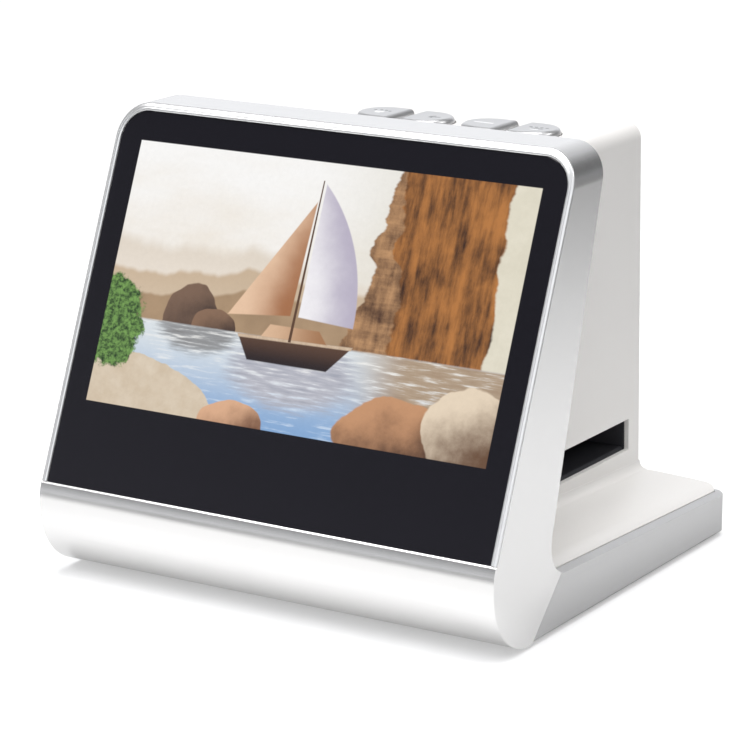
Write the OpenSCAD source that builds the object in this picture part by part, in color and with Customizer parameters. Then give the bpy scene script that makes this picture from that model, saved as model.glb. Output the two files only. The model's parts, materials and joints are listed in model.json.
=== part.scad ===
// Desktop film scanner: a leaning screen stands in front of a tower that holds the
// camera. Film slides through a channel at the tower's foot, between a lamp below
// and a lens above, and four keys stand on the tower's top.
// X is the width, Y runs from the screen to the back and Z is up. The origin lies on
// the table, under the middle of the outline.

/* [Overall] */
// Width of the front frame and of the base
body_w = 125; // [122:1:150]
// Depth from the nose to the back of the base
body_d = 118.2; // [116:0.1:142]
// Height of the front frame's top above the table
frame_top = 110.8; // [109:0.1:134]
// Height of the base above the table, on its feet
foot_proud = 0.8; // [0.5:0.1:1.5]
// Wall of the mouldings
wall = 2; // [1.6:0.1:2.4]
// Gap where two mouldings meet
seam = 0.15; // [0.1:0.05:0.25]

/* [Front frame] */
// Lean of the screen from upright, in degrees
face_lean = 22.5; // [21:0.5:24]
// Lean of the frame's back edge from upright, in degrees
back_lean = 15; // [13:0.5:16]
// Depth of the frame's flat top
top_depth = 12.8; // [12.4:0.1:16]
// Radius of the two top corners, seen from the front
corner_r = 8.3; // [6:0.1:10]
// Radius of the round nose under the screen
nose_r = 17; // [14:0.5:18]
// Height of the nose's upper edge above the table, at the glass
nose_top = 23.75; // [22.5:0.05:27.4]
// Radius of the shoulder between the nose's front and the glass
shoulder_r = 9.5; // [7:0.5:11]
// Width of the fine bevel along the nose's upper edge
nose_bevel = 0.3; // [0.2:0.05:0.5]
// Distance from the nose's front back to the seam's foot
seam_start = 18; // [17.5:0.1:20]
// Radius of the hollow where the frame runs out into the rails
foot_r = 7.8; // [6:0.1:9]

/* [Screen] */
// Thickness of the cover glass
glass_t = 1.1; // [0.9:0.1:1.4]
// Width of the lip round the glass, at the sides
lip_side = 1.5; // [1.3:0.05:2]
// Height of the lip above the glass
lip_top = 1.85; // [1.5:0.05:2.4]
// Height of the lip out of the glass
lip_proud = 0.5; // [0.3:0.1:0.8]
// Set-back of the glass's lower edge behind the nose's front
glass_set = 1.2; // [1:0.05:1.4]
// Thickness of the adhesive tape under the glass
tape_t = 0.2; // [0.1:0.05:0.3]
// Width of the display module
lcd_w = 118; // [112:0.5:118]
// Height of the display module
lcd_h = 71.5; // [66:0.5:72]
// Thickness of the display module
lcd_t = 3; // [2.6:0.1:3.4]
// Distance from the glass's lower edge up to the display module
lcd_rise = 16; // [15:0.5:18]
// Gap round the display module in the frame's window
lcd_gap = 0.3; // [0.2:0.1:0.4]
// Thickness of the steel bracket behind the display
bracket_t = 1; // [0.8:0.1:1.2]

/* [Tower and deck] */
// Step from the frame's top down to the tower's top
tower_drop = 8.4; // [7:0.1:12]
// Width of the tower at the deck
tower_w = 76.5; // [75:0.5:84]
// Draft of the tower's sides, in degrees
tower_draft = 1; // [0.5:0.1:1.5]
// Radius of the tower's top edges
tower_r = 4; // [3:0.5:5]
// Radius of the tower's back edges
tower_edge_r = 0.6; // [0.4:0.1:1]
// Set-back of the white housing from the back of the base
housing_set = 0.5; // [0.3:0.1:0.8]
// Set-in of the housing's back wall from the frame's back edge
panel_set = 0.4; // [0.2:0.1:0.8]
// Depth of the housing's skirt inside the frame
skirt_depth = 5; // [4:0.5:6]
// Radius of the hollow between the tower's sides and the deck
deck_fillet = 2; // [1:0.5:4]
// Rise of the deck from its round edge to the tower
deck_crown = 0.8; // [0.2:0.1:1.2]
// Drop of the deck's round edge
edge_drop = 1.5; // [1:0.1:2]
// Width of the deck's round edge
edge_run = 4; // [3:0.5:5]

/* [Base] */
// Height of the rails' outer edge at the frame
rail_front = 13.7; // [13:0.1:15]
// Height of the rails' outer edge at the back
rail_back = 10.6; // [10.2:0.1:12.5]
// Width of the rails' sloping top
rail_w = 2.1; // [1.6:0.1:3]
// Rise of the rails' top from its outer to its inner edge
rail_rise = 0.6; // [0.4:0.1:1.2]
// Height of the deck's edge above the rails' inner edge
deck_proud = 0.2; // [0.1:0.05:0.6]
// Radius of the deck's back corners
deck_corner = 2.5; // [1.5:0.5:4]
// Radius of the base's back corners
base_corner = 2.5; // [1:0.5:4]
// Chamfer along the base's lower edge
base_chamfer = 0.8; // [0.4:0.1:1.2]
// Height of the pads round the base's screws
pad_h = 1.2; // [1:0.1:1.5]
// Radius of the rubber feet
foot_pad_r = 5; // [4:0.5:6]
// Depth of the recess that holds each foot
foot_sink = 0.6; // [0.4:0.1:0.8]

/* [Film channel] */
// Length of the film slot, along Y
slot_len = 60; // [56:0.5:62]
// Height of the film slot in the tower's sides
slot_h = 8; // [7.5:0.1:9]
// Height of the slot's lower edge above the table
slot_z = 19.9; // [19.9:0.1:22]
// Distance from the back of the base to the slot
slot_back = 6.6; // [6.6:0.1:8]
// Distance from the slot's back end to the lens's axis
axis_back = 30; // [29:0.5:31]
// Wall of the tower beside the channel
slot_wall = 1.2; // [1:0.1:1.6]
// Wall at the channel's front and back
track_wall = 2; // [1.6:0.1:2.2]
// Step from the slot's lower edge up to the channel's floor
floor_step = 0.5; // [0.3:0.1:0.8]
// Clear height of the film channel
channel_h = 6.8; // [6.4:0.1:7]
// Thickness of the channel's floor
track_t = 2.4; // [2:0.1:2.6]
// Thickness of the channel's upper guide
guide_t = 2; // [1.6:0.1:2.4]
// Lead-in chamfer at the channel's two mouths
lead_in = 0.7; // [0.5:0.1:1]
// Length of the picture gate, along X
gate_w = 38; // [36:0.5:40]
// Width of the picture gate, along Y
gate_d = 30; // [26:0.5:32]

/* [Lamp] */
// Thickness of the opal diffuser
diffuser_t = 2; // [1.5:0.1:2.2]
// Side of the square lamp box
lamp_w = 46; // [44:0.5:47]
// Side of one light-emitting chip
led_w = 3; // [2.5:0.1:3.5]
// Height of the pads that the lamp board lies on
lamp_pad = 0.8; // [0.5:0.1:1]

/* [Camera] */
// Radius of the lens barrel
barrel_r = 8; // [7:0.5:8.5]
// Height from the guide to the barrel's shoulder
barrel_rise = 33; // [31:0.5:34]
// Length of the barrel below its shoulder
barrel_len = 12; // [10:0.5:13]
// Depth of the cup over the barrel
cup_h = 8; // [7:0.5:9]
// Side of the square sensor board
sensor_w = 34; // [34:0.5:36]

/* [Keys] */
// Width of one key, from its straight side to its round end
key_w = 11.5; // [10.5:0.1:12]
// Depth of one key, along Y
key_d = 14.2; // [12:0.1:15]
// Height of the keys above the tower's top
key_proud = 1.5; // [1.2:0.1:2]
// Gap between the two keys of a pair
key_gap = 3.1; // [2.6:0.1:3.6]
// Gap between the two pairs
pair_gap = 3.8; // [3.4:0.1:4.4]
// Distance from the keys' middle to the back of the base
key_back = 28; // [26:0.5:32]
// Running gap round a key in its hole
key_clear = 0.3; // [0.2:0.05:0.4]
// Travel of a key
key_travel = 0.6; // [0.4:0.1:0.8]

/* [Boards and screws] */
// Thickness of the circuit boards
board_t = 1.6; // [1.2:0.1:1.6]
// Distance from the bracket back to the main board
board_rise = 3.8; // [3.4:0.1:4]
// Radius of the screws' shanks
screw_r = 1; // [0.8:0.1:1.1]
// Radius of the screws' heads
head_r = 2; // [1.7:0.1:2.2]
// Height of the screws' heads
head_h = 1.2; // [1:0.1:1.4]
// Thickness of the flat cables
cable_t = 0.3; // [0.2:0.05:0.4]

/* [Hidden] */
$fn = 64;

// Length added to a cutting tool so that it passes clear of a face
over = 1;
// Running gap of a screw in its hole, on the radius
screw_fit = 0.05;
// Gap of a screw in a piece that it only passes through
screw_pass = 0.3;
// Floor left under a blind screw hole
blind = 0.6;
// Gap between a screw's end and the floor of its hole
screw_end = 0.3;
// Length that reaches across the whole object
far = 200;

half_w = body_w / 2;
front_y = -body_d / 2;
back_y = body_d / 2;
base_z = foot_proud;
floor_z = base_z + wall;
pad_z = floor_z + pad_h;

glass_y = front_y + glass_set;
glass_z = nose_top + 0.1;
glass_half = half_w - lip_side;
glass_top = frame_top - lip_top;
glass_len = (glass_top - glass_z) / cos(face_lean);
pocket_n = -glass_t - tape_t;
plate_n = pocket_n - wall;
rim_n = -0.25;
lip_groove = 0.15;
glass_gap = 0.1;
lcd_n = -glass_t;
bracket_n = lcd_n - lcd_t;
board_n = bracket_n - bracket_t - board_rise;
board_back_n = board_n - board_t;

nose_c = [front_y + nose_r, base_z + nose_r];
top_back_y = glass_y + (frame_top - glass_z) * tan(face_lean) + top_depth;
foot_cz = rail_front + foot_r;
foot_c = [back_line(foot_cz) + foot_r / cos(back_lean), foot_cz];
seam_foot = [front_y + seam_start, base_z];
seam_top = foot_c + foot_r * [cos(250), sin(250)];
rail_slope = atan((rail_front - rail_back) / (back_y - foot_c[0]));
deck_edge = rail_back + rail_rise + deck_proud;
deck_back = deck_edge + edge_drop + deck_crown;
ledge_back = deck_edge - wall;
deck_half = half_w - rail_w - seam;
crown_x = tower_w / 2 + deck_fillet + 0.1;
housing_back = back_y - housing_set;

tower_top = frame_top - tower_drop;
tower_ceiling = tower_top - wall;

slot_y1 = back_y - slot_back;
slot_y0 = slot_y1 - slot_len;
axis_y = slot_y1 - axis_back;
channel_z = slot_z + floor_step;
channel_top = channel_z + channel_h;
track_z = channel_z - track_t;
guide_top = channel_top + guide_t;
channel_half = tower_half(guide_top) - slot_wall - seam;
track_y0 = slot_y0 - track_wall;
track_y1 = slot_y1 + track_wall;
hook_t = 1.2;
hook_half = 28;
ear_r = 3;
ear_x = 24;
ear_y = min(track_y0, axis_y - lamp_w / 2) - ear_r - 0.5;
lamp_pitch = 14;
lamp_ear_x = lamp_w / 2 + 3;
lamp_tab = 5;

diffuser_z = track_z - 0.1 - diffuser_t;
led_board_z = floor_z + lamp_pad;
light_box_z = led_board_z + board_t;

barrel_z = guide_top + barrel_rise;
cup_top = barrel_z + cup_h;
funnel_r = norm([gate_w, gate_d]) / 2 + 0.3;
flange_r = funnel_r + wall + 5;

key_y = back_y - key_back;
key_under = tower_ceiling - 0.1;
key_flange = 1.3;
stem_z = key_under - 5.4;
switch_w = 6;
switch_h = 3.5;
plunger_r = 1.7;
key_board_z = stem_z - 0.8 - switch_h - board_t;
key_xs = [
    for (pair = [-1, 1], side = [-1, 1])
        pair * (pair_gap / 2 + key_w + key_gap / 2) + side * (key_gap + key_w) / 2
];
key_board_half = 34.3;

port_z = key_board_z - 10.8;
port_half = 33;
port_y0 = back_y - 39;
port_y1 = housing_back - wall - 0.3;

foot_x = half_w - 12.5;
foot_ys = [seam_foot[0] + 11, back_y - 9];
base_screw_ys = [seam_foot[0] + 27, back_y - 23];
base_screw_places = [for (side = [-1, 1], y = base_screw_ys) [side * foot_x, y]];
base_screw_len = 6;
tongue_x = 36;
tongue_y = seam_foot[0] + 7;
tongue_screw_len = 9;

tape_set = 0.3;
bracket_xs = [-46, 0, 46];
bracket_ups = [9, glass_len - 1.9];
board_half = 46;
board_up0 = lcd_rise + 0.5;
board_up1 = lcd_rise + lcd_h - 15;
board_screw_x = board_half - 4;
board_screw_ups = [board_up0 + 4, board_up1 - 4];

// Plugs on the main board: middle in X, width, and height up the board
display_plug = [0, 20, board_up0 + 4];
lamp_plug = [-17, 5, board_up0 + 5];
port_plug = [11, 10, board_up0 + 33];
sensor_plug = [-9, 10, board_up0 + 40];
key_plug = [23, 10, board_up0 + 48];
plug_h = 2;
plug_d = 3;

card_x = -16;
card_w = 25;
card_slot_h = 2.4;
hdmi_x = 7;
hdmi_w = 11.2;
usb_x = 24;
usb_w = 9;
socket_h = 3.2;

detent_half = 14;
detent_nose = 4;
detent_z = channel_z + 1.6;
detent_h = 3;
detent_peak = 0.7;

// Back edge of the frame at a height
function back_line(z) = top_back_y + (z - frame_top) * tan(back_lean);

// Half of the tower's width at a height
function tower_half(z) = tower_w / 2 - (z - deck_back) * tan(tower_draft);

// Place on the screen's plane: up the glass and out of it, as Y and Z
function face_point(up, out) = [
    glass_y + up * sin(face_lean) - out * cos(face_lean),
    glass_z + up * cos(face_lean) + out * sin(face_lean)
];

// Place where a layer of the screen reaches a height
function face_at(z, out) = [glass_y + (z - glass_z) * tan(face_lean) - out / cos(face_lean), z];

// Points along a round stretch
function arc(centre, r, from, to, steps) = [
    for (i = [0 : steps])
        centre + r * [cos(from + (to - from) * i / steps), sin(from + (to - from) * i / steps)]
];

// Deck height at a place along Y
function deck_z(y) = deck_back + (back_y - y) * tan(rail_slope);

// Unit vector from one point to another
function unit(a, b) = (b - a) / norm(b - a);

// Outline of a strip that follows a path with a thickness
function strip(path, t) = concat(
    [for (i = [0 : len(path) - 1]) path[i] + t / 2 * miter(path, i)],
    [for (i = [len(path) - 1 : -1 : 0]) path[i] - t / 2 * miter(path, i)]
);

// Offset direction at one point of a path, lengthened at bends
function miter(path, i) =
    let (
        a = unit(path[max(i - 1, 0)], path[max(i, 1)]),
        b = unit(path[min(i, len(path) - 2)], path[min(i + 1, len(path) - 1)]),
        m = a + b
    )
    [-m[1], m[0]] * 2 / (m * m);

// A drawing in Y and Z, given a width along X
module along_x(length) {
    rotate([90, 0, 90]) linear_extrude(length, center = true) children();
}

// A drawing in X and Z, given a length along Y
module along_y(from, to) {
    translate([0, to, 0]) rotate([90, 0, 0]) linear_extrude(to - from) children();
}

// Coordinates on the screen: X, up the glass and out of the glass
module on_face() {
    translate([0, glass_y, glass_z]) rotate([90 - face_lean, 0, 0]) children();
}

// A block of the screen's layers
module face_block(half, up0, up1, out0, out1) {
    on_face() translate([-half, up0, out0]) cube([2 * half, up1 - up0, out1 - out0]);
}

// Coordinates of the rails and the deck, which fall gently to the back
module deck_tilt() {
    translate([0, back_y, 0]) rotate([-rail_slope, 0, 0]) translate([0, -back_y, 0]) children();
}

module both_sides() {
    children();
    mirror([1, 0, 0]) children();
}

// Front view outline with two rounded top corners
module arched(half, z0, z1, r) {
    translate([-half, z0]) square([2 * half, z1 - r - z0]);
    translate([r - half, z0]) square([2 * (half - r), z1 - z0]);
    for (side = [-1, 1])
        translate([side * (half - r), z1 - r]) circle(r);
}

// Outline of the frame, set in by a distance
module frame_outline(inset) {
    arched(half_w - inset, -over, frame_top - inset, corner_r - inset);
}

// Outline of the glass, grown by a distance
module glass_outline(grow) {
    arched(glass_half + grow, -over, glass_top + grow, corner_r - lip_side + grow);
}

// Screw along Z with its head's seat at the origin and its shank pointing up
module screw(shank) {
    translate([0, 0, -head_h]) difference() {
        cylinder(r = head_r, h = head_h);
        for (turn = [0, 90])
            rotate(turn) cube([head_r * 1.2, head_r * 0.3, head_h], center = true);
    }
    cylinder(r = screw_r, h = shank);
}

// Side view of the frame, up to the rim that the lip stands on
module frame_profile() {
    edge = face_point(-glass_gap, 0.05);
    shoulder = edge - nose_bevel * [1, 1];
    turn = acos(1 - (shoulder[0] - front_y) / shoulder_r);
    shoulder_c = [front_y + shoulder_r, shoulder[1] - shoulder_r * sin(turn)];
    polygon(concat(
        [seam_foot],
        arc(nose_c, nose_r, 270, 180, 24),
        arc(shoulder_c, shoulder_r, 180, 180 - turn, 8),
        [edge],
        [face_point(-glass_gap, rim_n)],
        [face_at(frame_top, rim_n)],
        [[top_back_y, frame_top]],
        arc(foot_c, foot_r, 180 - back_lean, 250, 12)
    ));
}

// Side view of the room inside the frame, open to the back
module frame_room() {
    shelf = 0.5;
    shelf_rise = 3;
    polygon(concat(
        [[back_y, floor_z]],
        arc(nose_c, nose_r - wall, 270, 180, 24),
        [[front_y + wall, glass_z - shelf - shelf_rise]],
        [face_at(glass_z - shelf, plate_n)],
        [face_at(frame_top - wall, plate_n)],
        [[back_y, frame_top - wall]]
    ));
}

module bracket_screw_places() {
    on_face()
        for (x = bracket_xs, up = bracket_ups)
            translate([x, up, 0]) children();
}

module front_frame() {
    color("silver") difference() {
        union() {
            difference() {
                intersection() {
                    along_x(body_w) frame_profile();
                    along_y(front_y - over, back_y) frame_outline(0);
                }
                intersection() {
                    along_x(body_w - 2 * wall) frame_room();
                    along_y(front_y - over, back_y) frame_outline(wall);
                }
            }
            bracket_screw_places()
                translate([0, 0, bracket_n]) cylinder(r = head_r, h = plate_n - bracket_n + 0.2);
            frame_tongue();
        }
        intersection() {
            face_block(half_w, -glass_gap, far, pocket_n, lip_proud + over);
            along_y(front_y - over, back_y) glass_outline(glass_gap);
        }
        difference() {
            face_block(half_w + over, 0, far, rim_n - lip_groove, rim_n);
            along_y(front_y - over, back_y) frame_outline(lip_groove);
        }
        face_block(lcd_w / 2 + lcd_gap, lcd_rise - lcd_gap, lcd_rise + lcd_h + lcd_gap, -far / 8, 1);
        bracket_screw_places()
            translate([0, 0, bracket_n - over])
                cylinder(r = screw_r + screw_fit, h = over + pocket_n - blind - bracket_n);
        for (side = [-1, 1])
            translate([side * tongue_x, tongue_y, floor_z])
                cylinder(r = screw_r + screw_fit, h = tongue_screw_len);
    }
}

// Tongue that reaches back over the base and takes two of its screws
module frame_tongue() {
    tongue_z = pad_z + seam;
    half = half_w - wall - 6;
    y = seam_foot[0] - 5;
    translate([-half, y, floor_z - 0.5]) cube([2 * half, 4.6, tongue_z + 2 - floor_z]);
    translate([-half, y, tongue_z]) cube([2 * half, 17, 1.6]);
    for (side = [-1, 1])
        translate([side * tongue_x, tongue_y, tongue_z]) cylinder(r = 3, h = 5);
}

module screen_trim() {
    step = 0.25;
    color("gainsboro") difference() {
        intersection() {
            face_block(half_w, 0, far, rim_n, lip_proud);
            along_y(front_y - over, back_y) frame_outline(0);
        }
        along_y(front_y - over, back_y) glass_outline(glass_gap);
        difference() {
            face_block(half_w + over, -over, far, lip_proud - step, lip_proud + over);
            along_y(front_y - over, back_y) frame_outline(step);
        }
    }
}

module cover_glass() {
    color("#1c1b20") intersection() {
        face_block(half_w, 0, far, -glass_t, 0);
        along_y(front_y - over, back_y) glass_outline(0);
    }
}

module glass_tape() {
    color("#2a2a2a") difference() {
        intersection() {
            face_block(half_w, 0.8, far, pocket_n, -glass_t);
            along_y(front_y - over, back_y) glass_outline(-tape_set);
        }
        face_block(lcd_w / 2 + lcd_gap, lcd_rise - lcd_gap, lcd_rise + lcd_h + lcd_gap, -5, 1);
    }
}

module lcd_panel() {
    color("#303038")
        face_block(lcd_w / 2, lcd_rise, lcd_rise + lcd_h, bracket_n, lcd_n);
}

module board_screw_places() {
    on_face()
        for (side = [-1, 1], up = board_screw_ups)
            translate([side * board_screw_x, up, 0]) children();
}

module lcd_bracket() {
    border = 9;
    window = 34;
    window_h = lcd_h - 2 * border;
    color("lightgray") difference() {
        union() {
            difference() {
                face_block(lcd_w / 2 - 1, 5, glass_len - 0.4, bracket_n - bracket_t, bracket_n);
                for (side = [-1, 1])
                    on_face() translate([side * (window / 2 + border), lcd_rise + lcd_h / 2, bracket_n])
                        cube([window, window_h, 10], center = true);
                face_block(display_plug[1] / 2 + 2, 0, lcd_rise + 3, bracket_n - 5, 1);
            }
            board_screw_places()
                translate([0, 0, board_n])
                    cylinder(r = head_r + 0.5, h = board_rise + 0.2);
        }
        bracket_screw_places()
            translate([0, 0, bracket_n - 3]) cylinder(r = screw_r + screw_pass, h = 6);
        board_screw_places()
            translate([0, 0, board_n - over]) cylinder(r = screw_r + screw_fit, h = board_rise + over);
    }
}

module bracket_screws() {
    color("dimgray") bracket_screw_places()
        translate([0, 0, bracket_n - bracket_t])
            screw(bracket_t + pocket_n - blind - screw_end - bracket_n);
}

module main_board() {
    // Middle in X, foot, width, length and height of each chip
    chips = [[-2, 22, 14, 14, 1.4], [-21, 16, 9, 11, 1.1], [19, 15, 8, 8, 1], [33, 22, 10, 12, 1.2]];
    color("darkgreen") difference() {
        face_block(board_half, board_up0, board_up1, board_back_n, board_n);
        board_screw_places()
            translate([0, 0, board_back_n - over])
                cylinder(r = screw_r + screw_pass, h = board_t + 2 * over);
    }
    color("#222222")
        for (chip = chips)
            on_face() translate([chip[0] - chip[2] / 2, board_up0 + chip[1], board_back_n - chip[4]])
                cube([chip[2], chip[3], chip[4]]);
    color("ivory")
        for (plug = [display_plug, lamp_plug, port_plug, sensor_plug, key_plug])
            on_face() translate([plug[0] - plug[1] / 2 - 1, plug[2], board_back_n - plug_h])
                cube([plug[1] + 2, plug_d, plug_h]);
}

module board_screws() {
    color("dimgray") board_screw_places()
        translate([0, 0, board_back_n]) screw(board_t + board_rise - 0.6);
}

// Side view of the housing's panel, hollow and deck, set in by a wall
module housing_profile(inset, open) {
    lean = back_lean;
    top = frame_top - wall - seam - inset;
    line_shift = (panel_set + inset) / cos(lean);
    cz = deck_z(foot_c[0]) + foot_r;
    centre = [back_line(cz) - panel_set / cos(lean) + foot_r / cos(lean), cz];
    drop = deck_back - ledge_back - 0.1 + open * 20;
    depth = skirt_depth + open * 20;
    front = back_line(deck_back) - depth;
    polygon(concat(
        [[back_line(top) - line_shift, top]],
        arc(centre, foot_r + inset, 180 - lean, 270 - rail_slope, 12),
        [[housing_back - inset - tower_edge_r, deck_z(housing_back) - inset]],
        [[housing_back - inset, deck_z(housing_back) - inset - tower_edge_r]],
        [[housing_back - inset, deck_z(housing_back) - drop]],
        [[centre[0], deck_z(centre[0]) - drop]],
        [[front, deck_z(front) - drop + foot_r / 2]],
        [[back_line(top) - line_shift - depth, top]]
    ));
}

// Front view of the tower, set in by a distance
module tower_outline(inset) {
    foot_z = ledge_back + 0.1;
    head_z = tower_top - tower_r;
    foot = tower_half(foot_z) - inset / cos(tower_draft);
    head = tower_half(head_z) - tower_r / cos(tower_draft);
    r = tower_r - inset;
    polygon(concat(
        [[-foot, foot_z]],
        arc([-head, head_z], r, 180 - tower_draft, 90, 8),
        arc([head, head_z], r, 90, tower_draft, 8),
        [[foot, foot_z]]
    ));
}

// Tower block, its back edges rounded in three steps
module tower_outer() {
    e = tower_edge_r;
    hull() {
        along_y(back_line(ledge_back), housing_back - e) tower_outline(0);
        for (turn = [30 : 30 : 90]) {
            y = housing_back - e * (1 - sin(turn));
            along_y(y - 0.01, y) tower_outline(e * (1 - cos(turn)));
        }
    }
}

// Front view of the room in the tower
module tower_room() {
    foot_half = tower_half(0) - wall;
    head_half = tower_half(tower_ceiling) - wall;
    bevel = 2.4;
    polygon([
        [-foot_half, 0],
        [-head_half, tower_ceiling - bevel],
        [bevel - head_half, tower_ceiling],
        [head_half - bevel, tower_ceiling],
        [head_half, tower_ceiling - bevel],
        [foot_half, 0]
    ]);
}

// Soft corner between the tower's side and the deck
module deck_hollow() {
    r = deck_fillet;
    sink = 0.4;
    corner = [tower_half(deck_back) - 0.05, deck_back];
    deck_tilt() along_y(foot_c[0] - foot_r, housing_back - tower_edge_r)
        translate(corner) polygon(concat(
            [[-sink, -sink]],
            [[r + 0.1, -sink]],
            arc([r + 0.1, r], r, 270, 180, 8),
            [[-sink, r]]
        ));
}

// Section of the crown over the deck's edge, from above the deck beside the tower outwards
function crown_points() =
    let (
        lift = 0.15,
        r = (edge_run * edge_run + edge_drop * edge_drop) / (2 * edge_drop),
        turn = asin(edge_run / r)
    )
    concat(
        [[crown_x, edge_drop + deck_crown + lift]],
        arc([deck_half - edge_run, edge_drop - r], r, 90, 90 - turn, 6)
    );

// What gives the deck and the hollow before it their crown and round edges
module crown_cut() {
    points = crown_points();
    clear = edge_drop + deck_crown + 2;
    axis_z = deck_z(foot_c[0]) - edge_drop - deck_crown + foot_r;
    both_sides() {
        deck_tilt() along_y(foot_c[0] - 1, back_y + over)
            translate([0, deck_edge])
                polygon(concat(points, [[half_w, 0], [half_w, clear], [crown_x, clear]]));
        translate([0, foot_c[0], axis_z]) rotate([0, 90, 0]) rotate_extrude()
            polygon(concat(
                [[0, crown_x]],
                [for (point = points) [foot_r - point[1], point[0]]],
                [[foot_r, half_w], [0, half_w]]
            ));
    }
}

// Outline of one key, its straight side towards +X
module key_outline(grow) {
    r = key_d / 2 + grow;
    left = -key_w / 2 - grow;
    intersection() {
        translate([left + r, 0]) circle(r);
        translate([left - over, -r - over]) square([r + over, 2 * (r + over)]);
    }
    translate([left + r, -r]) square([key_w + 2 * grow - r, 2 * r]);
}

// One key's place; the second key of a pair is turned round
module key_place(index) {
    translate([key_xs[index], key_y, 0])
        rotate(index % 2 == 0 ? 0 : 180) children();
}

module key_boss_places() {
    for (side = [-1, 1], y = [-9, 9])
        translate([side * (key_board_half - 2.5), key_y + y, 0]) children();
}

module port_screw_places() {
    for (side = [-1, 1], y = [port_y0 + 4, port_y1 - 4])
        translate([side * (port_half - 1.5), y, 0]) children();
}

module housing_inner_supports() {
    // Bosses for the screws that come up through the base
    for (place = base_screw_places)
        translate([place[0], place[1], pad_z + seam])
            cylinder(r = 3, h = deck_z(place[1]) - wall / 2 - pad_z - seam);
    // Bosses for the key board
    key_boss_places()
        translate([0, 0, key_board_z + board_t])
            cylinder(r = 2.5, h = tower_ceiling + 0.5 - key_board_z - board_t);
    // Ledges for the port board
    both_sides()
        translate([port_half - 4, port_y0, port_z - 2])
            cube([tower_half(port_z) - wall - port_half + 4.5, port_y1 + 0.8 - port_y0, 2]);
    // Rib under the channel's back edge
    translate([-30, track_y1 - 1, track_z - 2])
        cube([60, housing_back - wall + 0.5 - track_y1 + 1, 2]);
}

module rear_housing() {
    color("whitesmoke") difference() {
        union() {
            difference() {
                union() {
                    difference() {
                        intersection() {
                            along_x(2 * deck_half) housing_profile(0, 0);
                            along_y(front_y, back_y) frame_outline(wall + seam);
                            linear_extrude(frame_top) deck_plan(0);
                        }
                        crown_cut();
                    }
                    tower_outer();
                    both_sides() deck_hollow();
                }
                difference() {
                    intersection() {
                        along_x(2 * deck_half - 2 * wall) housing_profile(wall, 1);
                        along_y(front_y, back_y) frame_outline(2 * wall + seam);
                    }
                    translate([0, 0, -wall]) crown_cut();
                }
                along_y(front_y, housing_back - wall) tower_room();
                housing_front_trim();
            }
            housing_inner_supports();
        }
        film_slots();
        for (index = [0 : 3])
            key_place(index) translate([0, 0, tower_ceiling - over])
                linear_extrude(wall + 2 * over) key_outline(key_clear);
        for (place = base_screw_places)
            translate([place[0], place[1], pad_z])
                cylinder(r = screw_r + screw_fit, h = base_screw_len + screw_end);
        key_boss_places()
            translate([0, 0, key_board_z]) cylinder(r = screw_r + screw_fit, h = board_t + 6);
        port_screw_places()
            translate([0, 0, port_z - 2 - over]) cylinder(r = screw_r + screw_fit, h = 2 + 2 * over);
        port_openings();
    }
}

// Plan with two rounded back corners
module back_rounded(half, back, r) {
    translate([-half, front_y]) square([2 * half, back - r - front_y]);
    translate([r - half, front_y]) square([2 * (half - r), back - front_y]);
    for (side = [-1, 1])
        translate([side * (half - r), back - r]) circle(r);
}

// Plan of the deck, grown by a distance
module deck_plan(grow) {
    back_rounded(deck_half + grow, housing_back + grow, deck_corner + grow);
}

// Removes what the tower's solid would leave in front of the housing's skirt
module housing_front_trim() {
    gap = skirt_depth + panel_set + wall;
    reach = 40;
    along_x(far) polygon([
        [back_line(0) - gap - reach, 0],
        [back_line(0) - gap, 0],
        [back_line(frame_top) - gap, frame_top],
        [back_line(frame_top) - gap - reach, frame_top]
    ]);
}

// The slot through both sides, and the thinner wall round the channel's ends
module film_slots() {
    z0 = track_z - 0.5;
    z1 = guide_top + 0.5;
    inner = wall + 0.3;
    translate([-half_w, slot_y0, slot_z]) cube([body_w, slot_len, slot_h]);
    both_sides()
        along_y(track_y0 - 0.5, track_y1 + seam + hook_t + 0.3) polygon([
            [tower_half(z0) - inner, z0], [tower_half(z0) - slot_wall, z0],
            [tower_half(z1) - slot_wall, z1], [tower_half(z1) - inner, z1]
        ]);
}

module port_openings() {
    sockets = [[hdmi_x, hdmi_w], [usb_x, usb_w]];
    for (socket = sockets)
        translate([socket[0] - socket[1] / 2 - 0.25, housing_back - wall - over, port_z + board_t - 0.1])
            cube([socket[1] + 0.5, wall + 2 * over, socket_h + 0.4]);
    translate([card_x - card_w / 2, housing_back - wall - over, port_z + board_t + 0.3])
        cube([card_w, wall + 2 * over, card_slot_h]);
}

// Rails and pan: everything under this outline is solid before it is hollowed
module pan_block() {
    c = base_chamfer;
    intersection() {
        along_y(seam_foot[0] - over, back_y) polygon([
            [c - half_w, base_z], [half_w - c, base_z], [half_w, base_z + c],
            [half_w, frame_top], [-half_w, frame_top], [-half_w, base_z + c]
        ]);
        along_x(body_w) polygon([
            seam_foot + [seam, 0],
            [back_y - c, base_z],
            [back_y, base_z + c],
            [back_y, rail_front + 5],
            seam_top + [seam, 0] + 5 * unit(seam_foot, seam_top)
        ]);
        linear_extrude(frame_top) back_rounded(half_w, back_y, base_corner);
    }
}

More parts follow.
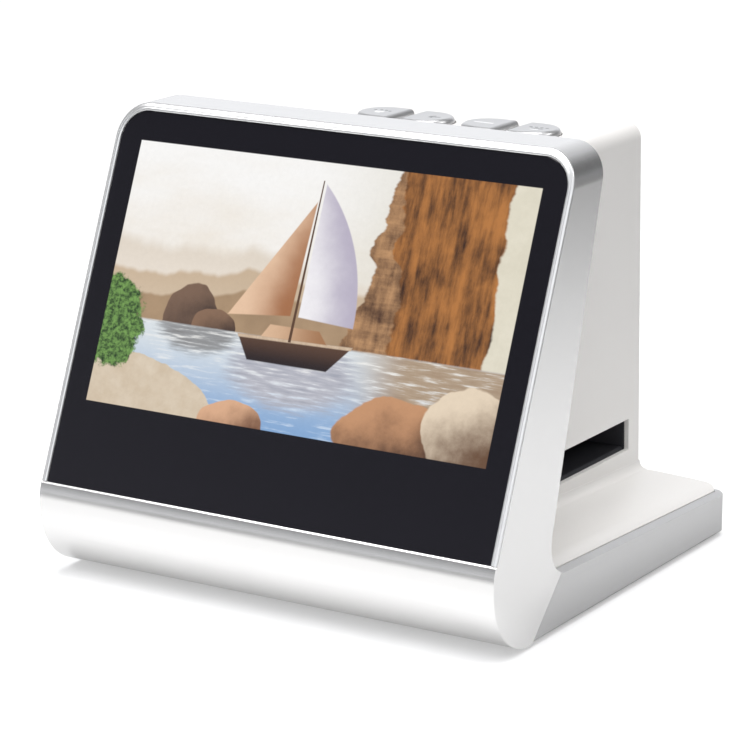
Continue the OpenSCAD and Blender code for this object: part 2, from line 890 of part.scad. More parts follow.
// Everything above the rails' sloping tops, and the pocket for the deck, open to the back
module rail_cut() {
    inner = half_w - rail_w;
    crest = rail_back + rail_rise;
    outer = rail_back - rail_rise * over / rail_w;
    open_half = inner - deck_corner - seam;
    deck_tilt() along_y(front_y - 20, back_y + 20) polygon([
        [-half_w - over, outer], [-inner, crest], [inner, crest], [half_w + over, outer],
        [half_w + over, frame_top], [-half_w - over, frame_top]
    ]);
    intersection() {
        deck_tilt() along_y(front_y - 20, back_y + 20)
            translate([-inner, ledge_back]) square([2 * inner, frame_top]);
        linear_extrude(frame_top) {
            deck_plan(seam);
            translate([-open_half, 0]) square([2 * open_half, back_y + over]);
        }
    }
}

module base_pan() {
    shelf = 1.5;
    room_half = half_w - rail_w - shelf;
    color("silver") difference() {
        union() {
            difference() {
                pan_block();
                rail_cut();
                translate([-room_half, front_y, floor_z])
                    cube([2 * room_half, back_y - wall - front_y, frame_top]);
            }
            for (place = base_screw_places)
                translate([place[0], place[1], floor_z - 0.5]) cylinder(r = 4, h = pad_h + 0.5);
            for (side = [-1, 1]) {
                translate([side * tongue_x, tongue_y, floor_z - 0.5]) cylinder(r = 4, h = pad_h + 0.5);
                translate([side * ear_x, ear_y, floor_z - 0.5])
                    cylinder(r = ear_r, h = track_z - floor_z + 0.5);
            }
            for (side = [-1, 1], end = [-1, 1])
                translate([side * 16 - 2, axis_y + end * 16 - 2, floor_z - 0.5])
                    cube([4, 4, lamp_pad + 0.5]);
        }
        for (place = concat(base_screw_places, [for (side = [-1, 1]) [side * tongue_x, tongue_y]]))
            translate([place[0], place[1], base_z - over]) {
                cylinder(r = screw_r + screw_pass, h = 8);
                cylinder(r = head_r + 0.3, h = over + head_h + 0.3);
            }
        for (side = [-1, 1]) {
            translate([side * ear_x, ear_y, track_z - 9]) cylinder(r = screw_r + screw_fit, h = 10);
            for (y = foot_ys)
                translate([side * foot_x, y, base_z - over])
                    cylinder(r = foot_pad_r + 0.1, h = over + foot_sink);
        }
    }
}

module rubber_feet() {
    color("#262626")
        for (side = [-1, 1], y = foot_ys)
            translate([side * foot_x, y, 0]) {
                cylinder(r1 = foot_pad_r - 0.4, r2 = foot_pad_r, h = 0.4);
                translate([0, 0, 0.4]) cylinder(r = foot_pad_r, h = base_z + foot_sink - 0.4);
            }
}

module base_screws() {
    seat = base_z + head_h + 0.3;
    color("dimgray") {
        for (place = base_screw_places)
            translate([place[0], place[1], seat]) screw(pad_z + base_screw_len - seat);
        for (side = [-1, 1])
            translate([side * tongue_x, tongue_y, seat]) screw(pad_z + 4.5 - seat);
    }
}

// Half of the channel's section along X, with the lead-in at both mouths
module track_section() {
    polygon([
        [-channel_half, track_z],
        [channel_half, track_z],
        [channel_half, channel_z - lead_in],
        [channel_half - lead_in, channel_z],
        [lead_in - channel_half, channel_z],
        [-channel_half, channel_z - lead_in]
    ]);
}

module lamp_screw_places() {
    for (side = [-1, 1], end = [-1, 1])
        translate([side * lamp_ear_x, axis_y + end * lamp_pitch, 0]) children();
}

module film_track() {
    color("#1f1f21") difference() {
        union() {
            along_y(track_y0, track_y1) track_section();
            for (y = [track_y0, slot_y1])
                translate([-channel_half, y, track_z])
                    cube([2 * channel_half, track_wall, channel_top - track_z]);
            for (side = [-1, 1]) {
                translate([side * ear_x, ear_y, track_z]) cylinder(r = ear_r, h = channel_top - track_z);
                translate([side * ear_x - 1, ear_y, track_z])
                    cube([2, track_y0 + 0.5 - ear_y, channel_top - track_z]);
            }
            lamp_screw_places()
                translate([0, 0, diffuser_z]) cylinder(r = 2.5, h = track_z - diffuser_z + 0.2);
        }
        translate([-gate_w / 2 - 2, axis_y - gate_d / 2 - 2, track_z - over])
            cube([gate_w + 4, gate_d + 4, track_t + 2 * over]);
        for (side = [-1, 1])
            translate([side * ear_x, ear_y, track_z - over])
                cylinder(r = screw_r + screw_pass, h = 30);
        lamp_screw_places()
            translate([0, 0, diffuser_z - over])
                cylinder(r = screw_r + screw_fit, h = over + track_z + track_t - 0.8 - diffuser_z);
        translate([-detent_nose - 1.5, track_y0 - over, detent_z - 0.4])
            cube([2 * detent_nose + 3, track_wall + 2 * over, detent_h + 0.8]);
    }
}

module film_guide() {
    hook_y = track_y1 + seam;
    color("#1f1f21") difference() {
        union() {
            along_y(track_y0, hook_y + hook_t) polygon([
                [-channel_half, guide_top],
                [-channel_half, channel_top + lead_in],
                [lead_in - channel_half, channel_top],
                [channel_half - lead_in, channel_top],
                [channel_half, channel_top + lead_in],
                [channel_half, guide_top]
            ]);
            translate([-hook_half, hook_y, channel_top - 3]) cube([2 * hook_half, hook_t, 3.5]);
            for (side = [-1, 1]) {
                translate([side * ear_x, ear_y, channel_top]) cylinder(r = ear_r, h = guide_t);
                translate([side * ear_x - ear_r, ear_y, channel_top])
                    cube([2 * ear_r, track_y0 + 0.5 - ear_y, guide_t]);
            }
        }
        translate([-gate_w / 2, axis_y - gate_d / 2, channel_top - over])
            cube([gate_w, gate_d, guide_t + 2 * over]);
        for (side = [-1, 1])
            translate([side * ear_x, ear_y, channel_top - over])
                cylinder(r = screw_r + screw_pass, h = guide_t + 2 * over);
        optics_screw_places()
            translate([0, 0, channel_top + 0.4]) cylinder(r = screw_r + screw_fit, h = guide_t + over);
    }
}

module detent_spring() {
    y0 = track_y0 - cable_t / 2;
    color("darkgray") translate([0, 0, detent_z]) linear_extrude(detent_h)
        polygon(strip([
            [-detent_half, y0], [-detent_nose, y0], [-0.8, slot_y0 + detent_peak],
            [0.8, slot_y0 + detent_peak], [detent_nose, y0], [detent_half, y0]
        ], cable_t));
}

module channel_screws() {
    color("dimgray")
        for (side = [-1, 1])
            translate([side * ear_x, ear_y, guide_top])
                mirror([0, 0, 1]) screw(guide_top - track_z + 8);
}

module light_box() {
    inner = lamp_w - 2 * wall;
    color("white") difference() {
        union() {
            translate([-lamp_w / 2, axis_y - lamp_w / 2, light_box_z])
                cube([lamp_w, lamp_w, diffuser_z + 1 - light_box_z]);
            for (side = [-1, 1], end = [-1, 1])
                translate([side * lamp_ear_x - 3, axis_y + end * lamp_pitch - 3, diffuser_z - 2])
                    cube([6, 6, 2]);
        }
        translate([-inner / 2, axis_y - inner / 2, light_box_z - over])
            cube([inner, inner, 30]);
        translate([-inner / 2 - 1, axis_y - inner / 2 - 1, diffuser_z])
            cube([inner + 2, inner + 2, 10]);
        lamp_screw_places()
            translate([0, 0, diffuser_z - 2 - over]) {
                cylinder(r = screw_r + screw_pass, h = 5);
            }
        lamp_screw_places()
            translate([0, 0, diffuser_z]) cylinder(r = 2.8, h = 3);
    }
}

module diffuser() {
    side = lamp_w - 2 * wall + 1.6;
    color("#f2f2ee") translate([-side / 2, axis_y - side / 2, diffuser_z])
        cube([side, side, diffuser_t]);
}

module led_board() {
    tab_half = lamp_plug[1] / 2 + 1.2;
    front = axis_y - lamp_w / 2;
    color("#e9e9e4") {
        translate([-lamp_w / 2, front, led_board_z]) cube([lamp_w, lamp_w, board_t]);
        translate([lamp_plug[0] - tab_half, front - lamp_tab, led_board_z])
            cube([2 * tab_half, lamp_tab + over, board_t]);
    }
    color("ivory")
        translate([lamp_plug[0] - lamp_plug[1] / 2 - 1, front - lamp_tab + 0.8, light_box_z])
            cube([lamp_plug[1] + 2, plug_d, plug_h]);
}

module led_chips() {
    pitch = 11;
    color("#f4ecc0")
        for (i = [-1 : 1], j = [-1 : 1])
            translate([i * pitch - led_w / 2, axis_y + j * pitch - led_w / 2, led_board_z + board_t])
                cube([led_w, led_w, 1]);
}

module lamp_screws() {
    color("dimgray") lamp_screw_places()
        translate([0, 0, diffuser_z - 2]) screw(5);
}

module optics_screw_places() {
    for (turn = [45 : 90 : 315])
        translate([0, axis_y, 0]) rotate(turn) translate([flange_r - 2.6, 0, 0]) children();
}

module sensor_screw_places() {
    for (side = [-1, 1], end = [-1, 1])
        translate([side * (sensor_w / 2 - 2.6), axis_y + end * (sensor_w / 2 - 2.6), 0]) children();
}

module optics_housing() {
    neck = barrel_r + wall;
    fit = barrel_r + 0.05;
    cone_top = barrel_z - barrel_len;
    color("#1f1f21") difference() {
        union() {
            translate([0, axis_y, 0]) rotate_extrude() polygon([
                [fit, barrel_z - 0.5], [fit, cone_top], [funnel_r, guide_top + wall],
                [funnel_r, guide_top], [flange_r, guide_top], [flange_r, guide_top + wall],
                [funnel_r + wall, guide_top + wall], [neck, cone_top], [neck, barrel_z - 0.5]
            ]);
            translate([-sensor_w / 2, axis_y - sensor_w / 2, barrel_z - wall])
                cube([sensor_w, sensor_w, cup_h + wall]);
        }
        translate([0, axis_y, barrel_z - wall - over]) cylinder(r = fit, h = cup_h + 2 * over);
        translate([0, axis_y, barrel_z]) cylinder(r = sensor_w / 2 - 4, h = cup_h + over);
        optics_screw_places()
            translate([0, 0, guide_top - over]) cylinder(r = screw_r + screw_pass, h = wall + 2 * over);
        sensor_screw_places()
            translate([0, 0, cup_top - 6]) cylinder(r = screw_r + screw_fit, h = 6 + over);
    }
}

module optics_screws() {
    color("dimgray") optics_screw_places()
        translate([0, 0, guide_top + wall]) mirror([0, 0, 1]) screw(wall + guide_t - 0.6);
}

module lens_barrel() {
    bore = barrel_r - 1.5;
    color("#2b2b2d") translate([0, axis_y, 0]) difference() {
        union() {
            translate([0, 0, barrel_z - barrel_len]) cylinder(r = barrel_r, h = barrel_len);
            translate([0, 0, barrel_z]) cylinder(r = barrel_r + 2, h = 2);
        }
        translate([0, 0, barrel_z - barrel_len - over]) cylinder(r = bore, h = 5 + over);
        translate([0, 0, barrel_z - barrel_len - over]) cylinder(r = bore - 1.5, h = barrel_len + 5);
        translate([0, 0, barrel_z - 2]) cylinder(r = bore - 0.5, h = 5);
    }
}

// Lens with two domed faces, its rim a cylinder
module lens(r, bulge, rim) {
    dome = (r * r + bulge * bulge) / (2 * bulge);
    tilt = asin(r / dome);
    rotate_extrude() polygon(concat(
        arc([0, dome - bulge], dome, 270, 270 + tilt, 6),
        arc([0, rim + bulge - dome], dome, 90 - tilt, 90, 6)
    ));
}

module front_lens() {
    color("lightcyan") translate([0, axis_y, barrel_z - barrel_len + 1.6])
        lens(barrel_r - 1.55, 1.2, 2.1);
}

module rear_lens() {
    color("lightcyan") translate([0, axis_y, barrel_z - 0.7])
        lens(barrel_r - 2.05, 0.9, 1.6);
}

module sensor_board() {
    color("darkgreen") difference() {
        translate([-sensor_w / 2, axis_y - sensor_w / 2, cup_top])
            cube([sensor_w, sensor_w, board_t]);
        sensor_screw_places()
            translate([0, 0, cup_top - over]) cylinder(r = screw_r + screw_pass, h = board_t + 2 * over);
    }
    color("ivory")
        translate([sensor_plug[0] - sensor_plug[1] / 2 - 1, axis_y - sensor_w / 2 + 5, cup_top + board_t])
            cube([sensor_plug[1] + 2, plug_d, plug_h]);
}

module image_sensor() {
    color("#3a4a44") translate([-6, axis_y - 5, cup_top - 1.5]) cube([12, 10, 1.5]);
}

module sensor_screws() {
    color("dimgray") sensor_screw_places()
        translate([0, 0, cup_top + board_t]) mirror([0, 0, 1]) screw(board_t + 5);
}

module key_cap(index) {
    top = tower_top + key_proud;
    edge = 0.8;
    color("lightgray") key_place(index) {
        translate([0, 0, key_under]) linear_extrude(top - edge - key_under) key_outline(0);
        hull() {
            translate([0, 0, top - edge - 0.05]) linear_extrude(0.05) key_outline(0, $fn = 48);
            translate([0, 0, top - edge * 0.3]) linear_extrude(0.01) key_outline(-edge * 0.3, $fn = 48);
            translate([0, 0, top - 0.01]) linear_extrude(0.01) key_outline(-edge, $fn = 48);
        }
        translate([0, 0, key_under - key_flange]) linear_extrude(key_flange) key_outline(0.9);
        for (turn = [0, 90])
            rotate(turn) translate([-2, -0.6, stem_z]) cube([4, 1.2, key_under - stem_z]);
    }
}

module home_key() {
    key_cap(0);
}

module left_key() {
    key_cap(1);
}

module right_key() {
    key_cap(2);
}

module scan_key() {
    key_cap(3);
}

module plunger(index) {
    color("#303030") key_place(index)
        translate([0, 0, stem_z - 2]) cylinder(r = plunger_r, h = 2);
}

module home_plunger() {
    plunger(0);
}

module left_plunger() {
    plunger(1);
}

module right_plunger() {
    plunger(2);
}

module scan_plunger() {
    plunger(3);
}

module tact_switches() {
    color("#4a4a4c")
        for (index = [0 : 3])
            key_place(index) translate([0, 0, key_board_z + board_t]) difference() {
                translate([-switch_w / 2, -switch_w / 2, 0]) cube([switch_w, switch_w, switch_h]);
                translate([0, 0, switch_h - 1.2 - key_travel - 0.1])
                    cylinder(r = plunger_r + 0.1, h = 5);
            }
}

module key_board() {
    color("darkgreen") difference() {
        translate([-key_board_half, key_y - 11.5, key_board_z])
            cube([2 * key_board_half, 23, board_t]);
        key_boss_places()
            translate([0, 0, key_board_z - over]) cylinder(r = screw_r + screw_pass, h = board_t + 2 * over);
    }
    color("ivory") translate([key_plug[0] - 6, key_y - 11, key_board_z - plug_h])
        cube([key_plug[1] + 2, plug_d, plug_h]);
}

module key_board_screws() {
    color("dimgray") key_boss_places()
        translate([0, 0, key_board_z]) screw(board_t + 5);
}

module port_board() {
    color("darkgreen") difference() {
        translate([-port_half, port_y0, port_z]) cube([2 * port_half, port_y1 - port_y0, board_t]);
        port_screw_places()
            translate([0, 0, port_z - over]) cylinder(r = screw_r + screw_pass, h = board_t + 2 * over);
    }
    color("ivory") translate([port_plug[0] - 6, port_y0 + 1, port_z + board_t])
        cube([port_plug[1] + 2, plug_d, plug_h]);
}

module port_screws() {
    color("dimgray") port_screw_places()
        translate([0, 0, port_z + board_t]) mirror([0, 0, 1]) screw(board_t + 1.8);
}

module card_socket() {
    depth = 24;
    color("gainsboro") translate([card_x, port_y1, port_z + board_t]) difference() {
        translate([-card_w / 2 - 0.5, -depth, 0]) cube([card_w + 1, depth, 2.9]);
        translate([-card_w / 2 + 0.3, -depth + 1, 0.3]) cube([card_w - 0.6, depth, card_slot_h - 0.1]);
    }
}

module hdmi_socket() {
    shell = 0.3;
    low = hdmi_w / 2 - 1.4;
    color("gainsboro") translate([hdmi_x, 0, port_z + board_t])
        along_y(port_y1 - 7, housing_back - 0.4) difference() {
            polygon([
                [-low, 0], [low, 0], [hdmi_w / 2, 1.4], [hdmi_w / 2, socket_h],
                [-hdmi_w / 2, socket_h], [-hdmi_w / 2, 1.4]
            ]);
            polygon([
                [shell - low, shell], [low - shell, shell], [hdmi_w / 2 - shell, 1.5],
                [hdmi_w / 2 - shell, socket_h - shell], [shell - hdmi_w / 2, socket_h - shell],
                [shell - hdmi_w / 2, 1.5]
            ]);
        }
    color("#202020") translate([hdmi_x, 0, port_z + board_t])
        along_y(port_y1 - 7, housing_back - 1.4)
            translate([-3.6, 1.3]) square([7.2, 0.7]);
}

module usb_socket() {
    shell = 0.3;
    r = socket_h / 2;
    color("gainsboro") translate([usb_x, 0, port_z + board_t + r])
        along_y(port_y1 - 7, housing_back - 0.4) difference() {
            slot_shape(usb_w, r);
            slot_shape(usb_w - 2 * shell, r - shell);
        }
    color("#202020") translate([usb_x, 0, port_z + board_t + r])
        along_y(port_y1 - 7, housing_back - 1.2)
            translate([-3.2, -0.35]) square([6.4, 0.7]);
}

// Shape with two straight sides and two round ends
module slot_shape(length, r) {
    translate([r - length / 2, -r]) square([length - 2 * r, 2 * r]);
    for (side = [-1, 1])
        translate([side * (length / 2 - r), 0]) circle(r);
}

// Flat cable of a width, along a path drawn in Y and Z
module flat_cable(x, width, path) {
    color("#c9b48a") translate([x, 0, 0])
        along_x(width) polygon(strip(path, cable_t));
}

// Point just behind a plug on the main board
function plug_back(plug) = face_point(plug[2] + plug_d / 2, board_back_n - plug_h - cable_t / 2);

module display_cable() {
    flat_cable(display_plug[0], display_plug[1], [
        face_point(lcd_rise + 2, bracket_n - cable_t / 2),
        face_point(lcd_rise - 1, bracket_n - cable_t / 2),
        face_point(lcd_rise - 4, bracket_n - 2.5),
        face_point(lcd_rise - 4, board_back_n - 0.5),
        face_point(lcd_rise - 1.5, board_back_n - plug_h - cable_t / 2),
        plug_back(display_plug)
    ]);
}

module sensor_cable() {
    flat_cable(sensor_plug[0], sensor_plug[1], [
        [axis_y - sensor_w / 2 + 6.5, cup_top + board_t + plug_h + cable_t / 2],
        [axis_y - sensor_w / 2 + 1, cup_top + board_t + plug_h + 1],
        plug_back(sensor_plug) + [8, 1.5],
        plug_back(sensor_plug)
    ]);
}

module key_cable() {
    flat_cable(key_plug[0], key_plug[1], [
        [key_y - 9.5, key_board_z - plug_h - cable_t / 2],
        [key_y - 16, key_board_z - plug_h - 1],
        plug_back(key_plug) + [8, 0.5],
        plug_back(key_plug)
    ]);
}

module port_cable() {
    flat_cable(port_plug[0], port_plug[1], [
        [port_y0 + 2.5, port_z + board_t + plug_h + cable_t / 2],
        [port_y0 - 6, port_z + board_t + plug_h + 0.5],
        plug_back(port_plug) + [9, 3],
        plug_back(port_plug)
    ]);
}

module lamp_cable() {
    flat_cable(lamp_plug[0], lamp_plug[1], [
        [axis_y - lamp_w / 2 - lamp_tab + 2.3, light_box_z + plug_h + cable_t / 2],
        [ear_y - 4, light_box_z + plug_h + 1.5],
        plug_back(lamp_plug) + [6, -8],
        plug_back(lamp_plug)
    ]);
}

front_frame();
screen_trim();
cover_glass();
glass_tape();
lcd_panel();
lcd_bracket();
bracket_screws();
main_board();
board_screws();
rear_housing();
base_pan();
rubber_feet();
base_screws();
film_track();
film_guide();
detent_spring();
channel_screws();
light_box();
diffuser();
led_board();
led_chips();
lamp_screws();
optics_housing();
optics_screws();
lens_barrel();
front_lens();
rear_lens();
sensor_board();
image_sensor();
sensor_screws();
home_key();
left_key();
right_key();
scan_key();
home_plunger();
left_plunger();
right_plunger();
scan_plunger();
tact_switches();
key_board();
key_board_screws();
port_board();
card_socket();
hdmi_socket();
usb_socket();
port_screws();
display_cable();
sensor_cable();
key_cable();
port_cable();
lamp_cable();
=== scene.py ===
import json
import math

import bmesh
import bpy
from mathutils import Matrix, Vector


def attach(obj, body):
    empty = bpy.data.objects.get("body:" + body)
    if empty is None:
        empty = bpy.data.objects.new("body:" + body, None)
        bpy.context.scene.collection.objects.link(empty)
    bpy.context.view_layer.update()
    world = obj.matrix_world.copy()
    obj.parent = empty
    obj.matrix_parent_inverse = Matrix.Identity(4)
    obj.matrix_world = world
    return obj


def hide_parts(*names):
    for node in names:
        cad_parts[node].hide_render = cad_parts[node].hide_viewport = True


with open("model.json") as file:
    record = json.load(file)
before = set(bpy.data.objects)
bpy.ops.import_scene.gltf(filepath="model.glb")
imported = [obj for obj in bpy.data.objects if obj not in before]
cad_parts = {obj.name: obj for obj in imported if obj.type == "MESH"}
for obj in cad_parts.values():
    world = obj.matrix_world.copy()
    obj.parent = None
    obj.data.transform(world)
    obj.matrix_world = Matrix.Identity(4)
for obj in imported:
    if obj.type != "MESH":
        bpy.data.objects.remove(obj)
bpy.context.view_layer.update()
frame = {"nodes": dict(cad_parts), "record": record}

mm = 0.001


def lookFrom(azimuth, elevation, roll):
    a, e, r = (math.radians(value) for value in (azimuth, elevation, roll))
    back = Vector((math.sin(a) * math.cos(e), -math.cos(a) * math.cos(e), math.sin(e)))
    right = Vector((math.cos(a), math.sin(a), 0))
    up = back.cross(right)
    turnedRight = math.cos(r) * right + math.sin(r) * up
    turnedUp = math.cos(r) * up - math.sin(r) * right
    return Matrix((turnedRight, turnedUp, back)).transposed()


def makeCamera():
    photo = {
        "place": (0.38930, -0.63960, 0.24406),
        "azimuth": 31.63,  # degrees round from the front, to the right
        "elevation": 14.835,
        "roll": 0.115,
        "lens": 153.2,
        "sensor": 36.0,
    }
    data = bpy.data.cameras.new("camera")
    data.lens = photo["lens"]
    data.sensor_width = photo["sensor"]
    data.clip_start = 0.01
    data.clip_end = 20
    camera = bpy.data.objects.new("camera", data)
    turn = lookFrom(photo["azimuth"], photo["elevation"], photo["roll"])
    camera.matrix_world = Matrix.Translation(photo["place"]) @ turn.to_4x4()
    bpy.context.scene.collection.objects.link(camera)
    bpy.context.scene.camera = camera


def addNode(tree, kind, inputs=None, **settings):
    node = tree.nodes.new(kind)
    for key, value in settings.items():
        setattr(node, key, value)
    for key, value in (inputs or {}).items():
        if isinstance(value, bpy.types.NodeSocket):
            tree.links.new(value, node.inputs[key])
        else:
            node.inputs[key].default_value = value
    return node


def calc(tree, operation, a, b=0.0, c=0.0):
    return addNode(tree, "ShaderNodeMath", {0: a, 1: b, 2: c}, operation=operation).outputs[0]


def rgba(colour):
    return (*colour, 1.0)


def blendColour(tree, factor, a, b, mode="MIX"):
    node = addNode(tree, "ShaderNodeMix", {0: factor}, data_type="RGBA", blend_type=mode)
    for socket, value in ((node.inputs[6], a), (node.inputs[7], b)):
        if isinstance(value, bpy.types.NodeSocket):
            tree.links.new(value, socket)
        else:
            socket.default_value = rgba(value)
    return node.outputs[2]


def shown(text):  # a colour as it shows on a screen, in Blender's linear values
    values = [int(text[i:i + 2], 16) / 255 for i in (0, 2, 4)]
    return tuple(v / 12.92 if v <= 0.04045 else ((v + 0.055) / 1.055) ** 2.4 for v in values)


def rise(tree, value, start, end, low=0.0, high=1.0):  # soft step, low at start and high at end
    inputs = {0: value, 1: start, 2: end, 3: low, 4: high}
    return addNode(tree, "ShaderNodeMapRange", inputs, interpolation_type="SMOOTHSTEP").outputs[0]


def makeLights():
    lamps = [  # name, place, aimed at, width, height, watts
        ("overhead", (0.05, -0.10, 1.25), (0, 0, 0.04), 1.0, 1.0, 13.2),
        ("frontBox", (-0.50, -0.66, 1.00), (0, 0, 0.05), 0.7, 0.45, 4.0),
        ("rightBox", (1.00, 0.35, 0.90), (0, 0, 0.05), 0.5, 0.5, 3.2),
    ]
    for name, place, aim, width, height, watts in lamps:
        data = bpy.data.lights.new(name, "AREA")
        data.shape = "RECTANGLE"
        data.size = width
        data.size_y = height
        data.energy = watts
        lamp = bpy.data.objects.new(name, data)
        lamp.location = place
        lamp.rotation_euler = (Vector(aim) - Vector(place)).to_track_quat("-Z", "Y").to_euler()
        bpy.context.scene.collection.objects.link(lamp)


def makeWorld():
    studio = {
        "tint": (0.95, 0.965, 1.0),
        "bands": [(0.0, 1.0), (0.16, 1.0), (0.24, 0.78), (0.33, 0.56), (0.43, 0.42),
                  (0.52, 0.28), (0.62, 0.11), (0.8, 0.18), (1.0, 0.7)],  # height and tone
        "lean": -0.25,  # the dark band starts lower at the front than at the back
        "strength": 1.06,
        "backTone": (0.24, 0.07),  # the dim corner at the back right, at the floor and above it
        "backRise": (0.0, 0.25),  # the heights of these two tones
        "backTurn": 0.5,  # the corner's middle lies this much to the back for each part to the right
        "backEdge": (0.30, 0.82),
        "leftTone": 0.45,
        "leftEdge": (-0.62, -0.92),
        "panel": 1.0,  # the white panel at the front right
        "panelTurn": -1.33,
        "panelEdge": (0.95, 1.30),
    }
    world = bpy.data.worlds.new("studio")
    world.use_nodes = True
    tree = world.node_tree
    tree.nodes.clear()
    way = addNode(tree, "ShaderNodeTexCoord").outputs["Generated"]
    parts = addNode(tree, "ShaderNodeSeparateXYZ", {0: way})
    height = calc(tree, "MULTIPLY_ADD", parts.outputs["Y"], studio["lean"], parts.outputs["Z"])
    ramp = addNode(tree, "ShaderNodeValToRGB", {0: height})
    stops = ramp.color_ramp.elements
    while len(stops) < len(studio["bands"]):
        stops.new(0.5)
    for stop, (place, tone) in zip(stops, studio["bands"]):
        stop.position = place
        stop.color = rgba([tone * channel for channel in studio["tint"]])
    x, y, z = parts.outputs["X"], parts.outputs["Y"], parts.outputs["Z"]
    backRight = calc(tree, "MULTIPLY_ADD", y, studio["backTurn"], x)
    frontRight = calc(tree, "MULTIPLY_ADD", y, studio["panelTurn"], x)
    backTone = rise(tree, z, *studio["backRise"], *studio["backTone"])
    right = rise(tree, backRight, *studio["backEdge"], 1.0, backTone)
    left = rise(tree, x, *studio["leftEdge"], 1.0, studio["leftTone"])
    strength = calc(tree, "MULTIPLY", calc(tree, "MULTIPLY", right, left), studio["strength"])
    panel = [studio["panel"] * channel for channel in studio["tint"]]
    colour = blendColour(tree, rise(tree, frontRight, *studio["panelEdge"]), ramp.outputs[0], panel)
    light = addNode(tree, "ShaderNodeBackground", {"Color": colour, "Strength": strength})
    white = addNode(tree, "ShaderNodeBackground", {"Color": rgba((1.0, 1.0, 1.0)), "Strength": 1.0})
    rays = addNode(tree, "ShaderNodeLightPath")
    mix = addNode(tree, "ShaderNodeMixShader", {
        0: rays.outputs["Is Camera Ray"], 1: light.outputs[0], 2: white.outputs[0]})
    addNode(tree, "ShaderNodeOutputWorld", {0: mix.outputs[0]})
    bpy.context.scene.world = world


def makeFloor():
    paperSpecs = {  # pairs are near the scanner and far from it, in metres
        "half": 3.0,
        "fade": (0.10, 0.75),  # where near ends and where far begins
        "colour": (0.76, 0.08),
        "glow": (0.33, 1.0),  # what the camera sees added
        "mirrorGlow": (0.03, 0.15),  # what silver and glass see added
        "frontTone": 0.35,  # the colour's part that is left in front of the scanner
        "frontFade": (-0.10, -0.24),
        "stripGlow": 0.22,  # added in the nose's mirror, on a strip before the scanner
        "stripEdges": ((-0.015, -0.050), (-0.20, -0.10)),
    }
    half = paperSpecs["half"]
    corners = [(-half, -half, 0), (half, -half, 0), (half, half, 0), (-half, half, 0)]
    mesh = bpy.data.meshes.new("floor")
    mesh.from_pydata(corners, [], [(0, 1, 2, 3)])
    floor = bpy.data.objects.new("floor", mesh)
    bpy.context.scene.collection.objects.link(floor)
    material = bpy.data.materials.new("floorPaper")
    material.use_nodes = True
    tree = material.node_tree
    tree.nodes.clear()
    rays = addNode(tree, "ShaderNodeLightPath")
    point = addNode(tree, "ShaderNodeTexCoord").outputs["Object"]
    away = addNode(tree, "ShaderNodeVectorMath", {0: point}, operation="LENGTH").outputs["Value"]
    depth = addNode(tree, "ShaderNodeSeparateXYZ", {0: point}).outputs["Y"]
    tone = rise(tree, away, *paperSpecs["fade"], *paperSpecs["colour"])
    ahead = rise(tree, depth, *paperSpecs["frontFade"], 1.0, paperSpecs["frontTone"])
    tone = calc(tree, "MULTIPLY", tone, ahead)
    tint = addNode(tree, "ShaderNodeCombineColor", {0: tone, 1: tone, 2: tone}).outputs[0]
    cameraGlow = rise(tree, away, *paperSpecs["fade"], *paperSpecs["glow"])
    nearColour = paperSpecs["colour"][0]  # what the darker front loses, the glow makes up for
    cameraGlow = calc(tree, "SUBTRACT", calc(tree, "ADD", cameraGlow, nearColour),
                      calc(tree, "MULTIPLY", ahead, nearColour))
    mirrorGlow = rise(tree, away, *paperSpecs["fade"], *paperSpecs["mirrorGlow"])
    begins, ends = [rise(tree, depth, *edge) for edge in paperSpecs["stripEdges"]]
    strip = calc(tree, "MULTIPLY", begins, ends)
    mirrorGlow = calc(tree, "MULTIPLY_ADD", strip, paperSpecs["stripGlow"], mirrorGlow)
    through = calc(tree, "MAXIMUM", rays.outputs["Is Glossy Ray"], rays.outputs["Is Transmission Ray"])
    seen = calc(tree, "MULTIPLY", rays.outputs["Is Camera Ray"], cameraGlow)
    strength = calc(tree, "MULTIPLY_ADD", through, mirrorGlow, seen)
    paper = addNode(tree, "ShaderNodeBsdfDiffuse", {"Color": tint})
    glow = addNode(tree, "ShaderNodeEmission", {"Color": rgba((1, 1, 1)), "Strength": strength})
    both = addNode(tree, "ShaderNodeAddShader", {0: paper.outputs[0], 1: glow.outputs[0]})
    addNode(tree, "ShaderNodeOutputMaterial", {0: both.outputs[0]})
    mesh.materials.append(material)


makeCamera()
makeLights()
makeWorld()
makeFloor()
bpy.context.scene.view_settings.view_transform = "Standard"
print("stage: camera, lights and floor")


def shaded(tree, colour, shade):
    grey = addNode(tree, "ShaderNodeCombineColor", {0: shade, 1: shade, 2: shade}).outputs[0]
    return blendColour(tree, 1.0, colour, grey, mode="MULTIPLY")


def startMaterial(name, **values):
    material = bpy.data.materials.new(name)
    material.use_nodes = True
    tree = material.node_tree
    shader = tree.nodes["Principled BSDF"]
    for key, value in values.items():
        shader.inputs[key].default_value = value
    return material, tree, shader


def objectPoint(tree):
    return addNode(tree, "ShaderNodeTexCoord").outputs["Object"]


def noise(tree, point, scale, detail=3.0, roughness=0.55, stretch=(1, 1, 1)):
    if stretch != (1, 1, 1):
        scaled = addNode(tree, "ShaderNodeVectorMath", {0: point, 1: stretch}, operation="MULTIPLY")
        point = scaled.outputs[0]
    inputs = {"Vector": point, "Scale": scale, "Detail": detail, "Roughness": roughness}
    return addNode(tree, "ShaderNodeTexNoise", inputs).outputs[0]


def spread(tree, value, low, high):
    inputs = {"Value": value, "To Min": low, "To Max": high}
    return addNode(tree, "ShaderNodeMapRange", inputs).outputs[0]


def bumps(tree, shader, height, distance, strength):
    inputs = {"Height": height, "Distance": distance, "Strength": strength}
    tree.links.new(addNode(tree, "ShaderNodeBump", inputs).outputs[0], shader.inputs["Normal"])


